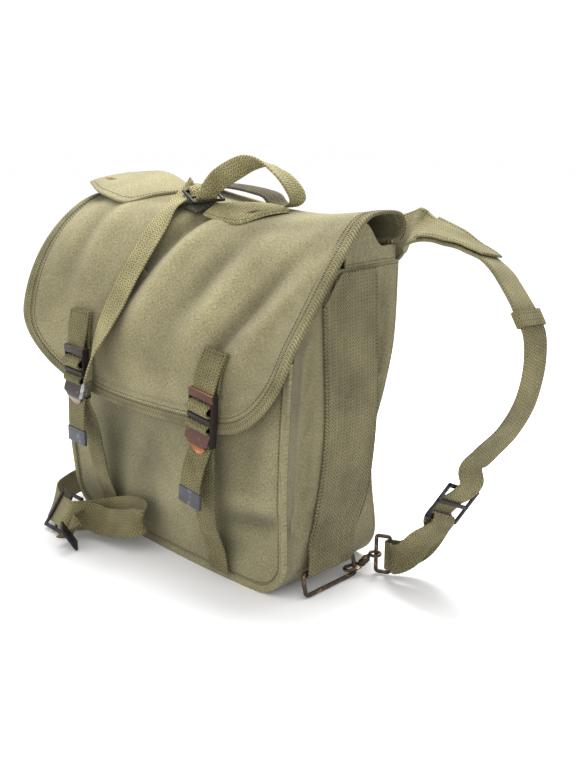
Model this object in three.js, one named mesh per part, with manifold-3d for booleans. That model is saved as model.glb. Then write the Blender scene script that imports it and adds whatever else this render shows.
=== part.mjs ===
// A canvas haversack that stands on its base: a hollow cloth body, a flap rolled over at the back,
// two closing straps, a long strap looped over the top, and two shoulder straps.
// Millimetres, +Z up. The origin is the middle of the base, the front faces -Y.
import * as THREE from 'three';
import Module from 'manifold-3d';
import { mergeVertices } from 'three/addons/utils/BufferGeometryUtils.js';

const wasm = await Module();
wasm.setup();

// Driving sizes of the bag
const bagWidth = 280;
const mouthHeight = 258;
const bagDepth = 128;
const cornerRadius = 30;
const clothWall = 1.6;
const seamGap = 0.35;
const weltHeight = 1.8;
const weltWidth = 5;
const sideSwell = 2.2;

// Driving sizes of the flap
const flapWall = 2;
const flapCornerRadius = 62;
const rollRadius = 11.5;
const bindingWidth = 10;
const bindingWall = 3;
const flapClearance = 1.1;

// Driving sizes of the webbing and its fittings
const webbingWidth = 25;
const webbingWall = 1.8;
const sideWebWidth = 62;
const wireRadius = 1.8;
const tipWall = 3;
const tipLength = 14;
const layerGap = 0.4;

const halfWidth = bagWidth / 2;

const canvasMaterial = cloth('canvas', 0x9b9470);
const shadeCanvasMaterial = cloth('canvas in shade', 0x8c8564);
const webbingMaterial = cloth('webbing', 0xa59e6e);
const darkWebbingMaterial = cloth('dark webbing', 0x6e6441);
const bronzeMaterial = metal('dark bronze', 0x785f4b, 0.45);
const copperMaterial = metal('worn brown paint', 0x824128, 0.5);
const blackenedMaterial = metal('blackened steel', 0x3c3737, 0.45);
const zincMaterial = metal('grey strap tip', 0x6e6e7d, 0.5);

function cloth(name, color) {
  return new THREE.MeshStandardMaterial({ name, color, roughness: 0.95, metalness: 0 });
}

function metal(name, color, roughness) {
  return new THREE.MeshStandardMaterial({ name, color, roughness, metalness: 0.9 });
}

function point(x, y, z) {
  return new THREE.Vector3(x, y, z);
}

// A closed body from points and triangles, turned so that its faces point out.
function body(points, triangles) {
  let volume = 0;
  for (const [a, b, c] of triangles) {
    volume += points[a].dot(points[b].clone().cross(points[c]));
  }
  const index = triangles.flatMap(([a, b, c]) => (volume < 0 ? [a, c, b] : [a, b, c]));
  const geometry = new THREE.BufferGeometry();
  const positions = points.flatMap((p) => [p.x, p.y, p.z]);
  geometry.setAttribute('position', new THREE.Float32BufferAttribute(positions, 3));
  geometry.setIndex(index);
  geometry.computeVertexNormals();
  return geometry;
}

// A body whose sections are rings of points; its two ends are closed, or joined into a loop.
function loft(sections, looped = false) {
  const sides = sections[0].length;
  const triangles = [];
  const spans = looped ? sections.length : sections.length - 1;
  for (let i = 0; i < spans; i += 1) {
    const next = (i + 1) % sections.length;
    for (let j = 0; j < sides; j += 1) {
      const k = (j + 1) % sides;
      const [a, b, c, d] = [i * sides + j, i * sides + k, next * sides + k, next * sides + j];
      triangles.push([a, b, c], [a, c, d]);
    }
  }
  if (!looped) {
    const last = (sections.length - 1) * sides;
    for (let j = 1; j < sides - 1; j += 1) {
      triangles.push([0, j + 1, j], [last, last + j, last + j + 1]);
    }
  }
  return body(sections.flat(), triangles);
}

// A wall between two faces, each a function of the same two shares.
function sheet(outer, inner, acrossShares, alongShares) {
  const columns = acrossShares.length;
  const rows = alongShares.length;
  const points = [];
  for (const face of [outer, inner]) {
    for (const along of alongShares) {
      for (const across of acrossShares) {
        points.push(face(across, along));
      }
    }
  }
  const at = (side, i, j) => side * rows * columns + i * columns + j;
  const triangles = [];
  const quad = (a, b, c, d) => triangles.push([a, b, c], [a, c, d]);
  for (let i = 0; i < rows - 1; i += 1) {
    for (let j = 0; j < columns - 1; j += 1) {
      quad(at(0, i, j), at(0, i, j + 1), at(0, i + 1, j + 1), at(0, i + 1, j));
      quad(at(1, i, j), at(1, i + 1, j), at(1, i + 1, j + 1), at(1, i, j + 1));
    }
  }
  for (let j = 0; j < columns - 1; j += 1) {
    quad(at(0, 0, j), at(1, 0, j), at(1, 0, j + 1), at(0, 0, j + 1));
    quad(at(0, rows - 1, j + 1), at(1, rows - 1, j + 1), at(1, rows - 1, j), at(0, rows - 1, j));
  }
  for (let i = 0; i < rows - 1; i += 1) {
    quad(at(0, i + 1, 0), at(1, i + 1, 0), at(1, i, 0), at(0, i, 0));
    quad(at(0, i, columns - 1), at(1, i, columns - 1), at(1, i + 1, columns - 1), at(0, i + 1, columns - 1));
  }
  return body(points, triangles);
}

function shares(count, from = 0, to = 1) {
  return Array.from({ length: count + 1 }, (_, i) => from + ((to - from) * i) / count);
}

function mix(a, b, share) {
  return a + (b - a) * share;
}

// The value of one column of a table at a key, on a smooth curve through its rows.
function readTable(rows, key, column, at) {
  let i = 0;
  while (i < rows.length - 2 && at > rows[i + 1][key]) {
    i += 1;
  }
  const [before, from, to, after] = [rows[Math.max(i - 1, 0)], rows[i], rows[i + 1], rows[Math.min(i + 2, rows.length - 1)]];
  const span = to[key] - from[key];
  const share = Math.min(Math.max((at - from[key]) / span, 0), 1);
  const startSlope = ((to[column] - before[column]) / (to[key] - before[key])) * span;
  const endSlope = ((after[column] - from[column]) / (after[key] - from[key])) * span;
  const square = share * share;
  const cube = square * share;
  return (
    (2 * cube - 3 * square + 1) * from[column] +
    (cube - 2 * square + share) * startSlope +
    (3 * square - 2 * cube) * to[column] +
    (cube - square) * endSlope
  );
}

// A strap along a smooth curve; each row gives a middle, the way its width lies, and its share of width.
function strap(rows, width, wall, steps, { lift = 0, from = 0, to = 1 } = {}) {
  const middles = new THREE.CatmullRomCurve3(rows.map((row) => row.middle), false, 'centripetal');
  const sections = shares(steps, from, to).map((share) => {
    const place = share * (rows.length - 1);
    const i = Math.min(Math.floor(place), rows.length - 2);
    const [from, to] = [rows[i], rows[i + 1]];
    const tangent = middles.getTangent(share);
    const wide = from.across.clone().lerp(to.across, place - i);
    const normal = tangent.clone().cross(wide).normalize();
    const across = normal.clone().cross(tangent).normalize();
    const half = (mix(from.wide ?? 1, to.wide ?? 1, place - i) * width) / 2;
    const middle = middles.getPoint(share).addScaledVector(normal, lift);
    return band(middle, across.multiplyScalar(half), normal.multiplyScalar(wall / 2));
  });
  return loft(sections);
}

function band(middle, half, lift) {
  return [
    middle.clone().add(half).add(lift),
    middle.clone().sub(half).add(lift),
    middle.clone().sub(half).sub(lift),
    middle.clone().add(half).sub(lift),
  ];
}

// A bent wire that closes on itself: a rounded rectangle in the plane of two unit directions.
function wireLoop(centre, long, short, length, breadth, bend, radius) {
  const outline = [];
  const corners = [[1, 1], [-1, 1], [-1, -1], [1, -1]];
  corners.forEach(([sideLong, sideShort], corner) => {
    for (const share of shares(3)) {
      const angle = ((corner + share) * Math.PI) / 2;
      const a = sideLong * (length / 2 - radius - bend) + bend * Math.cos(angle);
      const b = sideShort * (breadth / 2 - radius - bend) + bend * Math.sin(angle);
      outline.push([a, b, angle]);
    }
  });
  const flat = long.clone().cross(short).normalize();
  const sections = outline.map(([a, b, angle]) => {
    const middle = centre.clone().addScaledVector(long, a).addScaledVector(short, b);
    const out = long.clone().multiplyScalar(Math.cos(angle)).addScaledVector(short, Math.sin(angle));
    return circle(middle, out, flat, radius, 6);
  });
  return loft(sections, true);
}

function circle(middle, first, second, radius, sides) {
  return Array.from({ length: sides }, (_, i) => {
    const angle = (i * 2 * Math.PI) / sides;
    const offset = first.clone().multiplyScalar(radius * Math.cos(angle));
    return middle.clone().add(offset.addScaledVector(second, radius * Math.sin(angle)));
  });
}

// A round rod along a curve, with a radius for each row.
function rod(rows, sides, steps) {
  const curve = new THREE.CatmullRomCurve3(rows.map((row) => row.middle), false, 'centripetal');
  const frames = curve.computeFrenetFrames(steps, false);
  const sections = shares(steps).map((share, i) => {
    const place = share * (rows.length - 1);
    const row = Math.min(Math.floor(place), rows.length - 2);
    const radius = mix(rows[row].radius, rows[row + 1].radius, place - row);
    return circle(curve.getPointAt(share), frames.normals[i], frames.binormals[i], radius, sides);
  });
  return loft(sections);
}

function solidOf(geometry) {
  const bare = geometry.clone();
  bare.deleteAttribute('normal');
  bare.deleteAttribute('uv');
  const merged = mergeVertices(bare, 1e-3);
  const vertProperties = merged.attributes.position.array;
  const triVerts = new Uint32Array(merged.index.array);
  return new wasm.Manifold(new wasm.Mesh({ numProp: 3, vertProperties, triVerts }));
}

function geometryOf(solid) {
  const mesh = solid.getMesh();
  const geometry = new THREE.BufferGeometry();
  geometry.setAttribute('position', new THREE.BufferAttribute(mesh.vertProperties, 3));
  geometry.setIndex(new THREE.BufferAttribute(mesh.triVerts, 1));
  geometry.computeVertexNormals();
  return geometry;
}

function joined(geometries) {
  return geometryOf(geometries.map(solidOf).reduce((whole, piece) => whole.add(piece)));
}

function box(sizeX, sizeY, sizeZ, x, y, z) {
  return new THREE.BoxGeometry(sizeX, sizeY, sizeZ).translate(x, y, z);
}

function piece(name, geometry, material) {
  const mesh = new THREE.Mesh(geometry, material);
  mesh.name = name;
  return mesh;
}

function group(...children) {
  return new THREE.Group().add(...children);
}

// The body's outline by height: up is a share of mouthHeight, the rest are shares of bagDepth.
const bodyRows = [
  { up: 0, frontRight: -0.455, frontMiddle: -0.52, frontLeft: -0.515, backRight: 0.37, backMiddle: 0.42, backLeft: 0.4 },
  { up: 0.12, frontRight: -0.445, frontMiddle: -0.53, frontLeft: -0.54, backRight: 0.39, backMiddle: 0.45, backLeft: 0.43 },
  { up: 0.3, frontRight: -0.45, frontMiddle: -0.545, frontLeft: -0.565, backRight: 0.34, backMiddle: 0.47, backLeft: 0.42 },
  { up: 0.45, frontRight: -0.44, frontMiddle: -0.545, frontLeft: -0.56, backRight: 0.345, backMiddle: 0.48, backLeft: 0.43 },
  { up: 0.6, frontRight: -0.42, frontMiddle: -0.53, frontLeft: -0.545, backRight: 0.45, backMiddle: 0.5, backLeft: 0.46 },
  { up: 0.75, frontRight: -0.395, frontMiddle: -0.5, frontLeft: -0.52, backRight: 0.525, backMiddle: 0.53, backLeft: 0.52 },
  { up: 1, frontRight: -0.34, frontMiddle: -0.42, frontLeft: -0.46, backRight: 0.545, backMiddle: 0.54, backLeft: 0.54 },
];

// The flap's profiles: across is a share of half the width, out of bagDepth, up of mouthHeight.
const flapRows = [
  { across: -1.05, rollUp: 1.126, crestOut: 0.12, crestUp: 1.167, shoulderOut: -0.31, shoulderUp: 1.13,
    slopeOut: -0.665, slopeUp: 0.985, bellyOut: -0.85, bellyUp: 0.775, hemOut: -0.81, hemUp: 0.55 },
  { across: -0.715, rollUp: 1.13, crestOut: 0.12, crestUp: 1.175, shoulderOut: -0.3, shoulderUp: 1.135,
    slopeOut: -0.61, slopeUp: 0.977, bellyOut: -0.74, bellyUp: 0.76, hemOut: -0.71, hemUp: 0.53 },
  { across: -0.32, rollUp: 1.105, crestOut: 0.12, crestUp: 1.15, shoulderOut: -0.26, shoulderUp: 1.093,
    slopeOut: -0.53, slopeUp: 0.92, bellyOut: -0.67, bellyUp: 0.73, hemOut: -0.655, hemUp: 0.497 },
  { across: 0.14, rollUp: 1.076, crestOut: 0.14, crestUp: 1.124, shoulderOut: -0.155, shoulderUp: 1.06,
    slopeOut: -0.42, slopeUp: 0.9, bellyOut: -0.6, bellyUp: 0.72, hemOut: -0.595, hemUp: 0.489 },
  { across: 0.57, rollUp: 1.073, crestOut: 0.17, crestUp: 1.12, shoulderOut: -0.08, shoulderUp: 1.04,
    slopeOut: -0.33, slopeUp: 0.876, bellyOut: -0.525, bellyUp: 0.72, hemOut: -0.58, hemUp: 0.504 },
  { across: 0.89, rollUp: 1.096, crestOut: 0.22, crestUp: 1.136, shoulderOut: 0.015, shoulderUp: 1.047,
    slopeOut: -0.25, slopeUp: 0.88, bellyOut: -0.47, bellyUp: 0.72, hemOut: -0.57, hemUp: 0.52 },
  { across: 1.02, rollUp: 1.105, crestOut: 0.25, crestUp: 1.145, shoulderOut: 0.06, shoulderUp: 1.058,
    slopeOut: -0.21, slopeUp: 0.895, bellyOut: -0.43, bellyUp: 0.752, hemOut: -0.547, hemUp: 0.53 },
];
const rollOut = 0.49 * bagDepth;
const rollStart = -100;
const profileSteps = 60;

const flapLeft = flapRows[0].across * halfWidth;
const flapRight = flapRows.at(-1).across * halfWidth;

// The middle of the flap's cloth at one place across: from the roll's start to the hem.
function flapProfile(x) {
  const read = (column) => readTable(flapRows, 'across', column, x / halfWidth);
  const rollUp = read('rollUp') * mouthHeight;
  const points = [];
  for (const share of shares(4)) {
    const angle = THREE.MathUtils.degToRad(mix(rollStart, 90, share));
    points.push(point(x, rollOut + rollRadius * Math.cos(angle), rollUp + rollRadius * Math.sin(angle)));
  }
  for (const name of ['crest', 'shoulder', 'slope', 'belly', 'hem']) {
    points.push(point(x, read(name + 'Out') * bagDepth, read(name + 'Up') * mouthHeight));
  }
  return new THREE.CatmullRomCurve3(points, false, 'centripetal');
}

const profiles = new Map();
function profilePoints(x) {
  if (!profiles.has(x)) {
    profiles.set(x, flapProfile(x).getSpacedPoints(profileSteps));
  }
  return profiles.get(x);
}

function flapMiddle(x, share) {
  const points = profilePoints(x);
  const place = Math.min(Math.max(share, 0), 1) * profileSteps;
  const i = Math.min(Math.floor(place), profileSteps - 1);
  return points[i].clone().lerp(points[i + 1], place - i);
}

function flapNormal(x, share) {
  const step = 0.01;
  const along = flapMiddle(x, Math.min(share + step, 1)).sub(flapMiddle(x, Math.max(share - step, 0)));
  const across = flapMiddle(x + 2, share).sub(flapMiddle(x - 2, share));
  return across.cross(along).normalize().negate();
}

function flapFace(x, share, lift) {
  return flapMiddle(x, share).addScaledVector(flapNormal(x, share), lift);
}

// Where the flap crosses a depth on its top side, or a height on its hanging side.
function flapHeight(x, y) {
  const points = profilePoints(x);
  const first = points.findIndex((p, i) => i > 0 && points[i - 1].z > p.z && p.y < rollOut);
  for (let i = first; i < points.length; i += 1) {
    if (points[i].y <= y) {
      const [a, b] = [points[i - 1], points[i]];
      return mix(a.z, b.z, (y - a.y) / (b.y - a.y));
    }
  }
  return points.at(-1).z;
}

function flapDepth(x, z) {
  const points = profilePoints(x);
  for (let i = points.length - 1; i > 0; i -= 1) {
    if (points[i - 1].z >= z && points[i].z <= z) {
      const [a, b] = [points[i - 1], points[i]];
      return mix(a.y, b.y, (z - a.z) / (b.z - a.z));
    }
  }
  return points.at(-1).y;
}

// The free edge of the flap: where a place across ends, with its lower corners rounded.
function flapEnd(x, inset) {
  const middle = (flapLeft + flapRight) / 2;
  const reach = (flapRight - flapLeft) / 2 - inset;
  const radius = flapCornerRadius - inset;
  const past = Math.max(Math.abs(x - middle) - (reach - radius), 0);
  const rise = radius - Math.sqrt(Math.max(radius * radius - past * past, 0));
  const length = flapProfile(x).getLength();
  return (length - inset - rise) / length;
}

function frontDepth(x, z) {
  return sideDepth(x, z, 'front');
}

function backDepth(x, z) {
  return sideDepth(x, z, 'back');
}

function sideDepth(x, z, side) {
  const up = z / mouthHeight;
  const middle = readTable(bodyRows, 'up', side + 'Middle', up);
  const edge = readTable(bodyRows, 'up', side + (x > 0 ? 'Right' : 'Left'), up);
  return mix(middle, edge, Math.min((x / halfWidth) ** 2, 1)) * bagDepth;
}

// Half the width of the front and back panels at a height, with rounded bottom corners.
function halfWidthAt(z) {
  const below = Math.max(cornerRadius - z, 0);
  return halfWidth - cornerRadius + Math.sqrt(Math.max(cornerRadius ** 2 - below ** 2, 0));
}

function edgeDistance(x, z) {
  const inX = halfWidth - cornerRadius;
  if (Math.abs(x) > inX && z < cornerRadius) {
    return cornerRadius - Math.hypot(Math.abs(x) - inX, cornerRadius - z);
  }
  return Math.min(halfWidth - Math.abs(x), z);
}

function welt(x, z) {
  const share = Math.min(Math.max((weltWidth - edgeDistance(x, z)) / 2, 0), 1);
  return weltHeight * share;
}

// The highest place up to a limit where cloth at some depth still clears the flap's inner face.
function rimHeight(x, depthAt, limit = mouthHeight) {
  const inside = Math.min(Math.max(x, flapLeft), flapRight);
  const gap = bindingWall / 2 + flapClearance;
  const clear = (z) => {
    const y = depthAt(z);
    return z < flapHeight(inside, y) - gap && y - weltHeight > flapDepth(inside, z) + gap;
  };
  let z = limit;
  while (!clear(z) && z > limit / 2) {
    z -= 1.5;
  }
  return z;
}

// Rows of the panels: below zero they follow the bottom corner, above it they share the height left.
const panelRows = [...shares(4, -1, 0), ...shares(8).slice(1)];
const panelColumns = [-1, -0.985, -0.955, ...shares(11, -0.85, 0.85), 0.955, 0.985, 1];

function rowHeight(along, top) {
  const low = cornerRadius * (1 - Math.cos(((1 + along) * Math.PI) / 2));
  return along < 0 ? low : mix(cornerRadius, top, along);
}

function frontTop(x) {
  return rimHeight(x, (z) => frontDepth(x, z));
}

function panelPoint(across, along, top, depth) {
  const z = rowHeight(along, top(across * halfWidth));
  const x = across * halfWidthAt(z);
  return point(x, depth(x, z), z);
}

function frontPanel() {
  const outer = (across, along) =>
    panelPoint(across, along, frontTop, (x, z) => frontDepth(x, z) - welt(x, z));
  const inner = (across, along) =>
    panelPoint(across, along, frontTop, (x, z) => frontDepth(x, z) + clothWall);
  return piece('front_panel', sheet(outer, inner, panelColumns, panelRows), shadeCanvasMaterial);
}

function backPanel() {
  const top = () => mouthHeight;
  const outer = (across, along) => panelPoint(across, along, top, backDepth);
  const inner = (across, along) => panelPoint(across, along, top, (x, z) => backDepth(x, z) - clothWall);
  return piece('back_panel', sheet(outer, inner, panelColumns, panelRows), shadeCanvasMaterial);
}

// The gusset's line round the sides and base, seen from the front; along is a share of its length.
const gussetLines = gussetStops();

function gussetStops() {
  const sideStops = shares(8).map((share) => ({ kind: 'side', share }));
  const arcStops = shares(5).slice(1).map((share) => ({ kind: 'arc', share }));
  const half = [...sideStops.toReversed().map((stop) => ({ ...stop, hand: 1 }))];
  half.push(...arcStops.map((stop) => ({ ...stop, hand: 1 })));
  const base = [0.5, 0, -0.5].map((share) => ({ kind: 'base', share, hand: 1 }));
  const other = [...arcStops.toReversed(), ...sideStops].map((stop) => ({ ...stop, hand: -1 }));
  return [...half, ...base, ...other];
}

function gussetPoint(stop, depthShare, inset) {
  const reach = halfWidth - inset;
  const radius = cornerRadius - inset;
  let x = 0;
  let z = inset;
  if (stop.kind === 'base') {
    x = stop.share * (halfWidth - cornerRadius);
  } else if (stop.kind === 'arc') {
    const angle = (stop.share * Math.PI) / 2;
    x = stop.hand * (halfWidth - cornerRadius + radius * Math.cos(angle));
    z = cornerRadius - radius * Math.sin(angle);
  } else {
    x = stop.hand * reach;
    z = cornerRadius;
  }
  const yAt = (height) => {
    const front = frontDepth(x, height) + clothWall + seamGap;
    const back = backDepth(x, height) - clothWall - seamGap;
    return mix(front, back, depthShare);
  };
  if (stop.kind === 'side') {
    z = mix(cornerRadius, rimHeight(x, yAt), stop.share);
    x += stop.hand * sideBulge(z, depthShare);
  }
  return point(x, yAt(z), z);
}

// The side cloth swells a little between its seams.
function sideBulge(z, depthShare) {
  const up = Math.min(Math.max((z - cornerRadius) / (mouthHeight - cornerRadius), 0), 1);
  return sideSwell * Math.sin(Math.PI * up) * Math.sin(Math.PI * depthShare);
}

function gusset() {
  const outer = (across, along) => gussetPoint(gussetLines[along], across, 0);
  const inner = (across, along) => gussetPoint(gussetLines[along], across, clothWall);
  return piece('gusset', sheet(outer, inner, shares(6), gussetLines.map((_, i) => i)), shadeCanvasMaterial);
}

// The collar stands on the gusset and the back panel, under the flap.
const collarBend = 7;

function collarLine(across) {
  const front = 0.05 * bagDepth;
  const back = backDepth(halfWidth, mouthHeight);
  const straight = back - collarBend - front;
  const arc = (Math.PI / 2) * collarBend;
  const half = straight + arc + halfWidth - collarBend;
  const hand = across < 0 ? -1 : 1;
  const gone = Math.abs(across) * half;
  const fromMiddle = half - (half - gone);
  if (fromMiddle < halfWidth - collarBend) {
    return { x: hand * fromMiddle, y: back, outX: 0, outY: 1 };
  }
  if (fromMiddle < halfWidth - collarBend + arc) {
    const angle = (fromMiddle - halfWidth + collarBend) / collarBend;
    const [outX, outY] = [hand * Math.sin(angle), Math.cos(angle)];
    return {
      x: hand * (halfWidth - collarBend) + collarBend * outX,
      y: back - collarBend + collarBend * outY,
      outX,
      outY,
    };
  }
  const y = back - collarBend - (fromMiddle - halfWidth + collarBend - arc);
  return { x: hand * halfWidth, y, outX: hand, outY: 0 };
}

function collarPoint(across, along, inset) {
  const line = collarLine(across);
  const x = line.x - line.outX * inset;
  const y = line.y - line.outY * inset;
  const rollBottom = readTable(flapRows, 'across', 'rollUp', x / halfWidth) * mouthHeight - rollRadius;
  const ceiling = line.y < rollOut - rollRadius ? flapHeight(x, line.y) - 0.8 : rollBottom;
  const top = Math.min(ceiling, rollBottom) - bindingWall / 2 - layerGap;
  const foot = mouthHeight + seamGap;
  return point(x, y, mix(foot, Math.max(top, foot + 1), along));
}

function mouthCollar() {
  const columns = [...shares(8, -1, -0.62), ...shares(8, -0.6, 0.6), ...shares(8, 0.62, 1)];
  const outer = (across, along) => collarPoint(across, along, 0);
  const inner = (across, along) => collarPoint(across, along, clothWall);
  return piece('mouth_collar', sheet(outer, inner, columns, shares(2)), canvasMaterial);
}

const flapColumns = 20;
const flapSteps = 17;

function flapSheet() {
  const inset = bindingWidth + seamGap;
  const face = (lift) => (across, along) => {
    const x = mix(flapLeft + inset, flapRight - inset, (1 - Math.cos(across * Math.PI)) / 2);
    return flapFace(x, along * flapEnd(x, inset), lift);
  };
  return sheet(face(flapWall / 2), face(-flapWall / 2), shares(flapColumns), shares(flapSteps));
}

// The tape runs down one side of the flap, round its corners and along the hem, and up the other.
function bindingStop(along, inset) {
  const reach = (flapRight - flapLeft) / 2 - inset;
  const middle = (flapRight + flapLeft) / 2;
  const radius = flapCornerRadius - inset;
  const angle = (along.share * Math.PI) / 2;
  if (along.kind === 'side') {
    const x = middle + along.hand * reach;
    return [x, along.share * flapEnd(x, inset)];
  }
  if (along.kind === 'corner') {
    const x = middle + along.hand * (reach - radius + radius * Math.cos(angle));
    return [x, flapEnd(x, inset)];
  }
  const x = middle + along.share * (reach - radius);
  return [x, flapEnd(x, inset)];
}

function bindingStops() {
  const side = shares(16).map((share) => ({ kind: 'side', share }));
  const corner = shares(7).slice(1).map((share) => ({ kind: 'corner', share }));
  const right = [...side, ...corner].map((stop) => ({ ...stop, hand: 1 }));
  const hem = shares(10, 1, -1).slice(1, -1).map((share) => ({ kind: 'hem', share }));
  const left = [...side, ...corner].toReversed().map((stop) => ({ ...stop, hand: -1 }));
  return [...right, ...hem, ...left];
}

function flapBinding() {
  const stops = bindingStops();
  const face = (lift) => (across, along) => {
    const [outerX, outerShare] = bindingStop(stops[along], 0);
    const [innerX, innerShare] = bindingStop(stops[along], bindingWidth);
    return flapFace(mix(outerX, innerX, across), mix(outerShare, innerShare, across), lift);
  };
  const rows = stops.map((_, i) => i);
  return sheet(face(bindingWall / 2), face(-bindingWall / 2), [0, 0.5, 1], rows);
}

function flap() {
  return group(
    piece('flap', flapSheet(), canvasMaterial),
    piece('flap_binding', flapBinding(), webbingMaterial),
  );
}

// Wide bands down the sides: out is a share of bagDepth, up of mouthHeight, wide of sideWebWidth.
const sideWebRows = [
  { up: 0, out: -0.1, wide: 0.82 },
  { up: 0.09, out: -0.1, wide: 0.84 },
  { up: 0.25, out: 0.03, wide: 1 },
  { up: 0.5, out: 0.1, wide: 1 },
  { up: 0.8, out: 0.09, wide: 1 },
  { up: 1, out: 0.085, wide: 1 },
];
const wireHeight = 19;
const wireLean = 4.2;
const wireX = halfWidth + webbingWall + wireRadius + 2 * layerGap;

function sideWeb(hand) {
  const turn = wireRadius + layerGap + webbingWall / 2 + 0.2;
  const line = shares(9).map((share) => {
    const z = mix(mouthHeight - 2, 2 * wireHeight + 8, share);
    return [halfWidth + sideBulge(z, 0.5) + 2 * layerGap + webbingWall / 2, z];
  });
  line.push([wireX + turn, wireHeight + 4]);
  for (const share of shares(5)) {
    const angle = -share * Math.PI;
    line.push([wireX + turn * Math.cos(angle), wireHeight + turn * Math.sin(angle)]);
  }
  const sections = line.map(([x, z], i) => {
    const [before, after] = [line[Math.max(i - 1, 0)], line[Math.min(i + 1, line.length - 1)]];
    const run = Math.hypot(after[0] - before[0], after[1] - before[1]);
    const [normalX, normalZ] = [-(after[1] - before[1]) / run, (after[0] - before[0]) / run];
    const read = (column) => readTable(sideWebRows, 'up', column, z / mouthHeight);
    const reach = (read('wide') * sideWebWidth) / 2;
    const corner = (side, lift) => {
      const y = read('out') * bagDepth + side * reach;
      const top = rimHeight(halfWidth, () => y) - 2 - i;
      return point(hand * (x + normalX * lift), y, Math.min(z + normalZ * lift, top));
    };
    const half = webbingWall / 2;
    return [corner(-1, half), corner(1, half), corner(1, -half), corner(-1, -half)];
  });
  return loft(sections);
}

function wireOnWeb(hand) {
  const bend = 3;
  const low = readTable(sideWebRows, 'up', 'wide', wireHeight / mouthHeight) * sideWebWidth;
  const length = low + 2 * wireRadius + 2 * bend + 1;
  const drop = wireHeight - wireRadius - 0.4;
  const lean = point(hand * wireLean, 0, -drop).normalize();
  const reach = Math.hypot(wireLean, drop);
  const middleY = readTable(sideWebRows, 'up', 'out', wireHeight / mouthHeight) * bagDepth;
  const centre = point(hand * wireX, middleY, wireHeight).addScaledVector(lean, reach / 2);
  return wireLoop(centre, point(0, 1, 0), lean, length, reach + 2 * wireRadius, bend, wireRadius);
}

function sideFittings(name, hand) {
  return group(
    piece('side_web_' + name, sideWeb(hand), webbingMaterial),
    piece('wire_loop_' + name, wireOnWeb(hand), bronzeMaterial),
  );
}

// The closing sets: across is a share of half the width, up and looseEnd of mouthHeight; lean is in
// radians, and looseOut is in mm.
const closingRows = [
  { name: 'right', across: 0.51, up: 0.554, looseEnd: 0.287, lean: 0.1, looseOut: -7 },
  { name: 'left', across: -0.545, up: 0.6, looseEnd: 0.256, lean: 0.02, looseOut: -1 },
];
const buckleStandOff = 11;
const buckleHeight = 45;
const buckleWall = 1.6;
const railWall = 1.3;
const railDepth = 7;
const buckleWidth = webbingWidth + 2 * railWall + 0.8;
const topPlate = 7;
const bottomPlate = 10.5;
const barTall = 4;
const rodWall = 2;
const tabLength = 34;
const strapBow = 9;

// The buckle is drawn round its own middle, with its front at -Y.
const rodDepth = railDepth - buckleWall / 2 - rodWall / 2;
const rodHeight = buckleHeight / 2 - topPlate / 2;
const rearBarHeight = 8.5;

function buckleGeometry() {
  const half = buckleHeight / 2;
  const railX = (buckleWidth - railWall) / 2;
  const rail = (hand) => box(railWall, railDepth, buckleHeight, hand * railX, (railDepth - buckleWall) / 2, 0);
  return joined([
    rail(1),
    rail(-1),
    box(buckleWidth, buckleWall, topPlate, 0, 0, half - topPlate / 2),
    box(buckleWidth, buckleWall, bottomPlate, 0, 0, -half + bottomPlate / 2),
    box(buckleWidth, rodWall, barTall, 0, -rodWall / 2 - 0.2, 0.5),
    box(buckleWidth, rodWall, rodWall, 0, 1.2, rearBarHeight),
    box(buckleWidth, rodWall, rodWall, 0, rodDepth, rodHeight),
    box(buckleWidth, 1.2, 3, 0, -0.9, -half + 0.5),
  ]);
}

// A strap's row round the buckle's middle, turned by the buckle's lean and by the flap's slant.
function closingRow(lean, slant, depth, height) {
  const turn = new THREE.Euler(0, lean, slant);
  return { middle: point(0, depth, height).applyEuler(turn), across: point(1, 0, 0).applyEuler(turn) };
}

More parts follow.
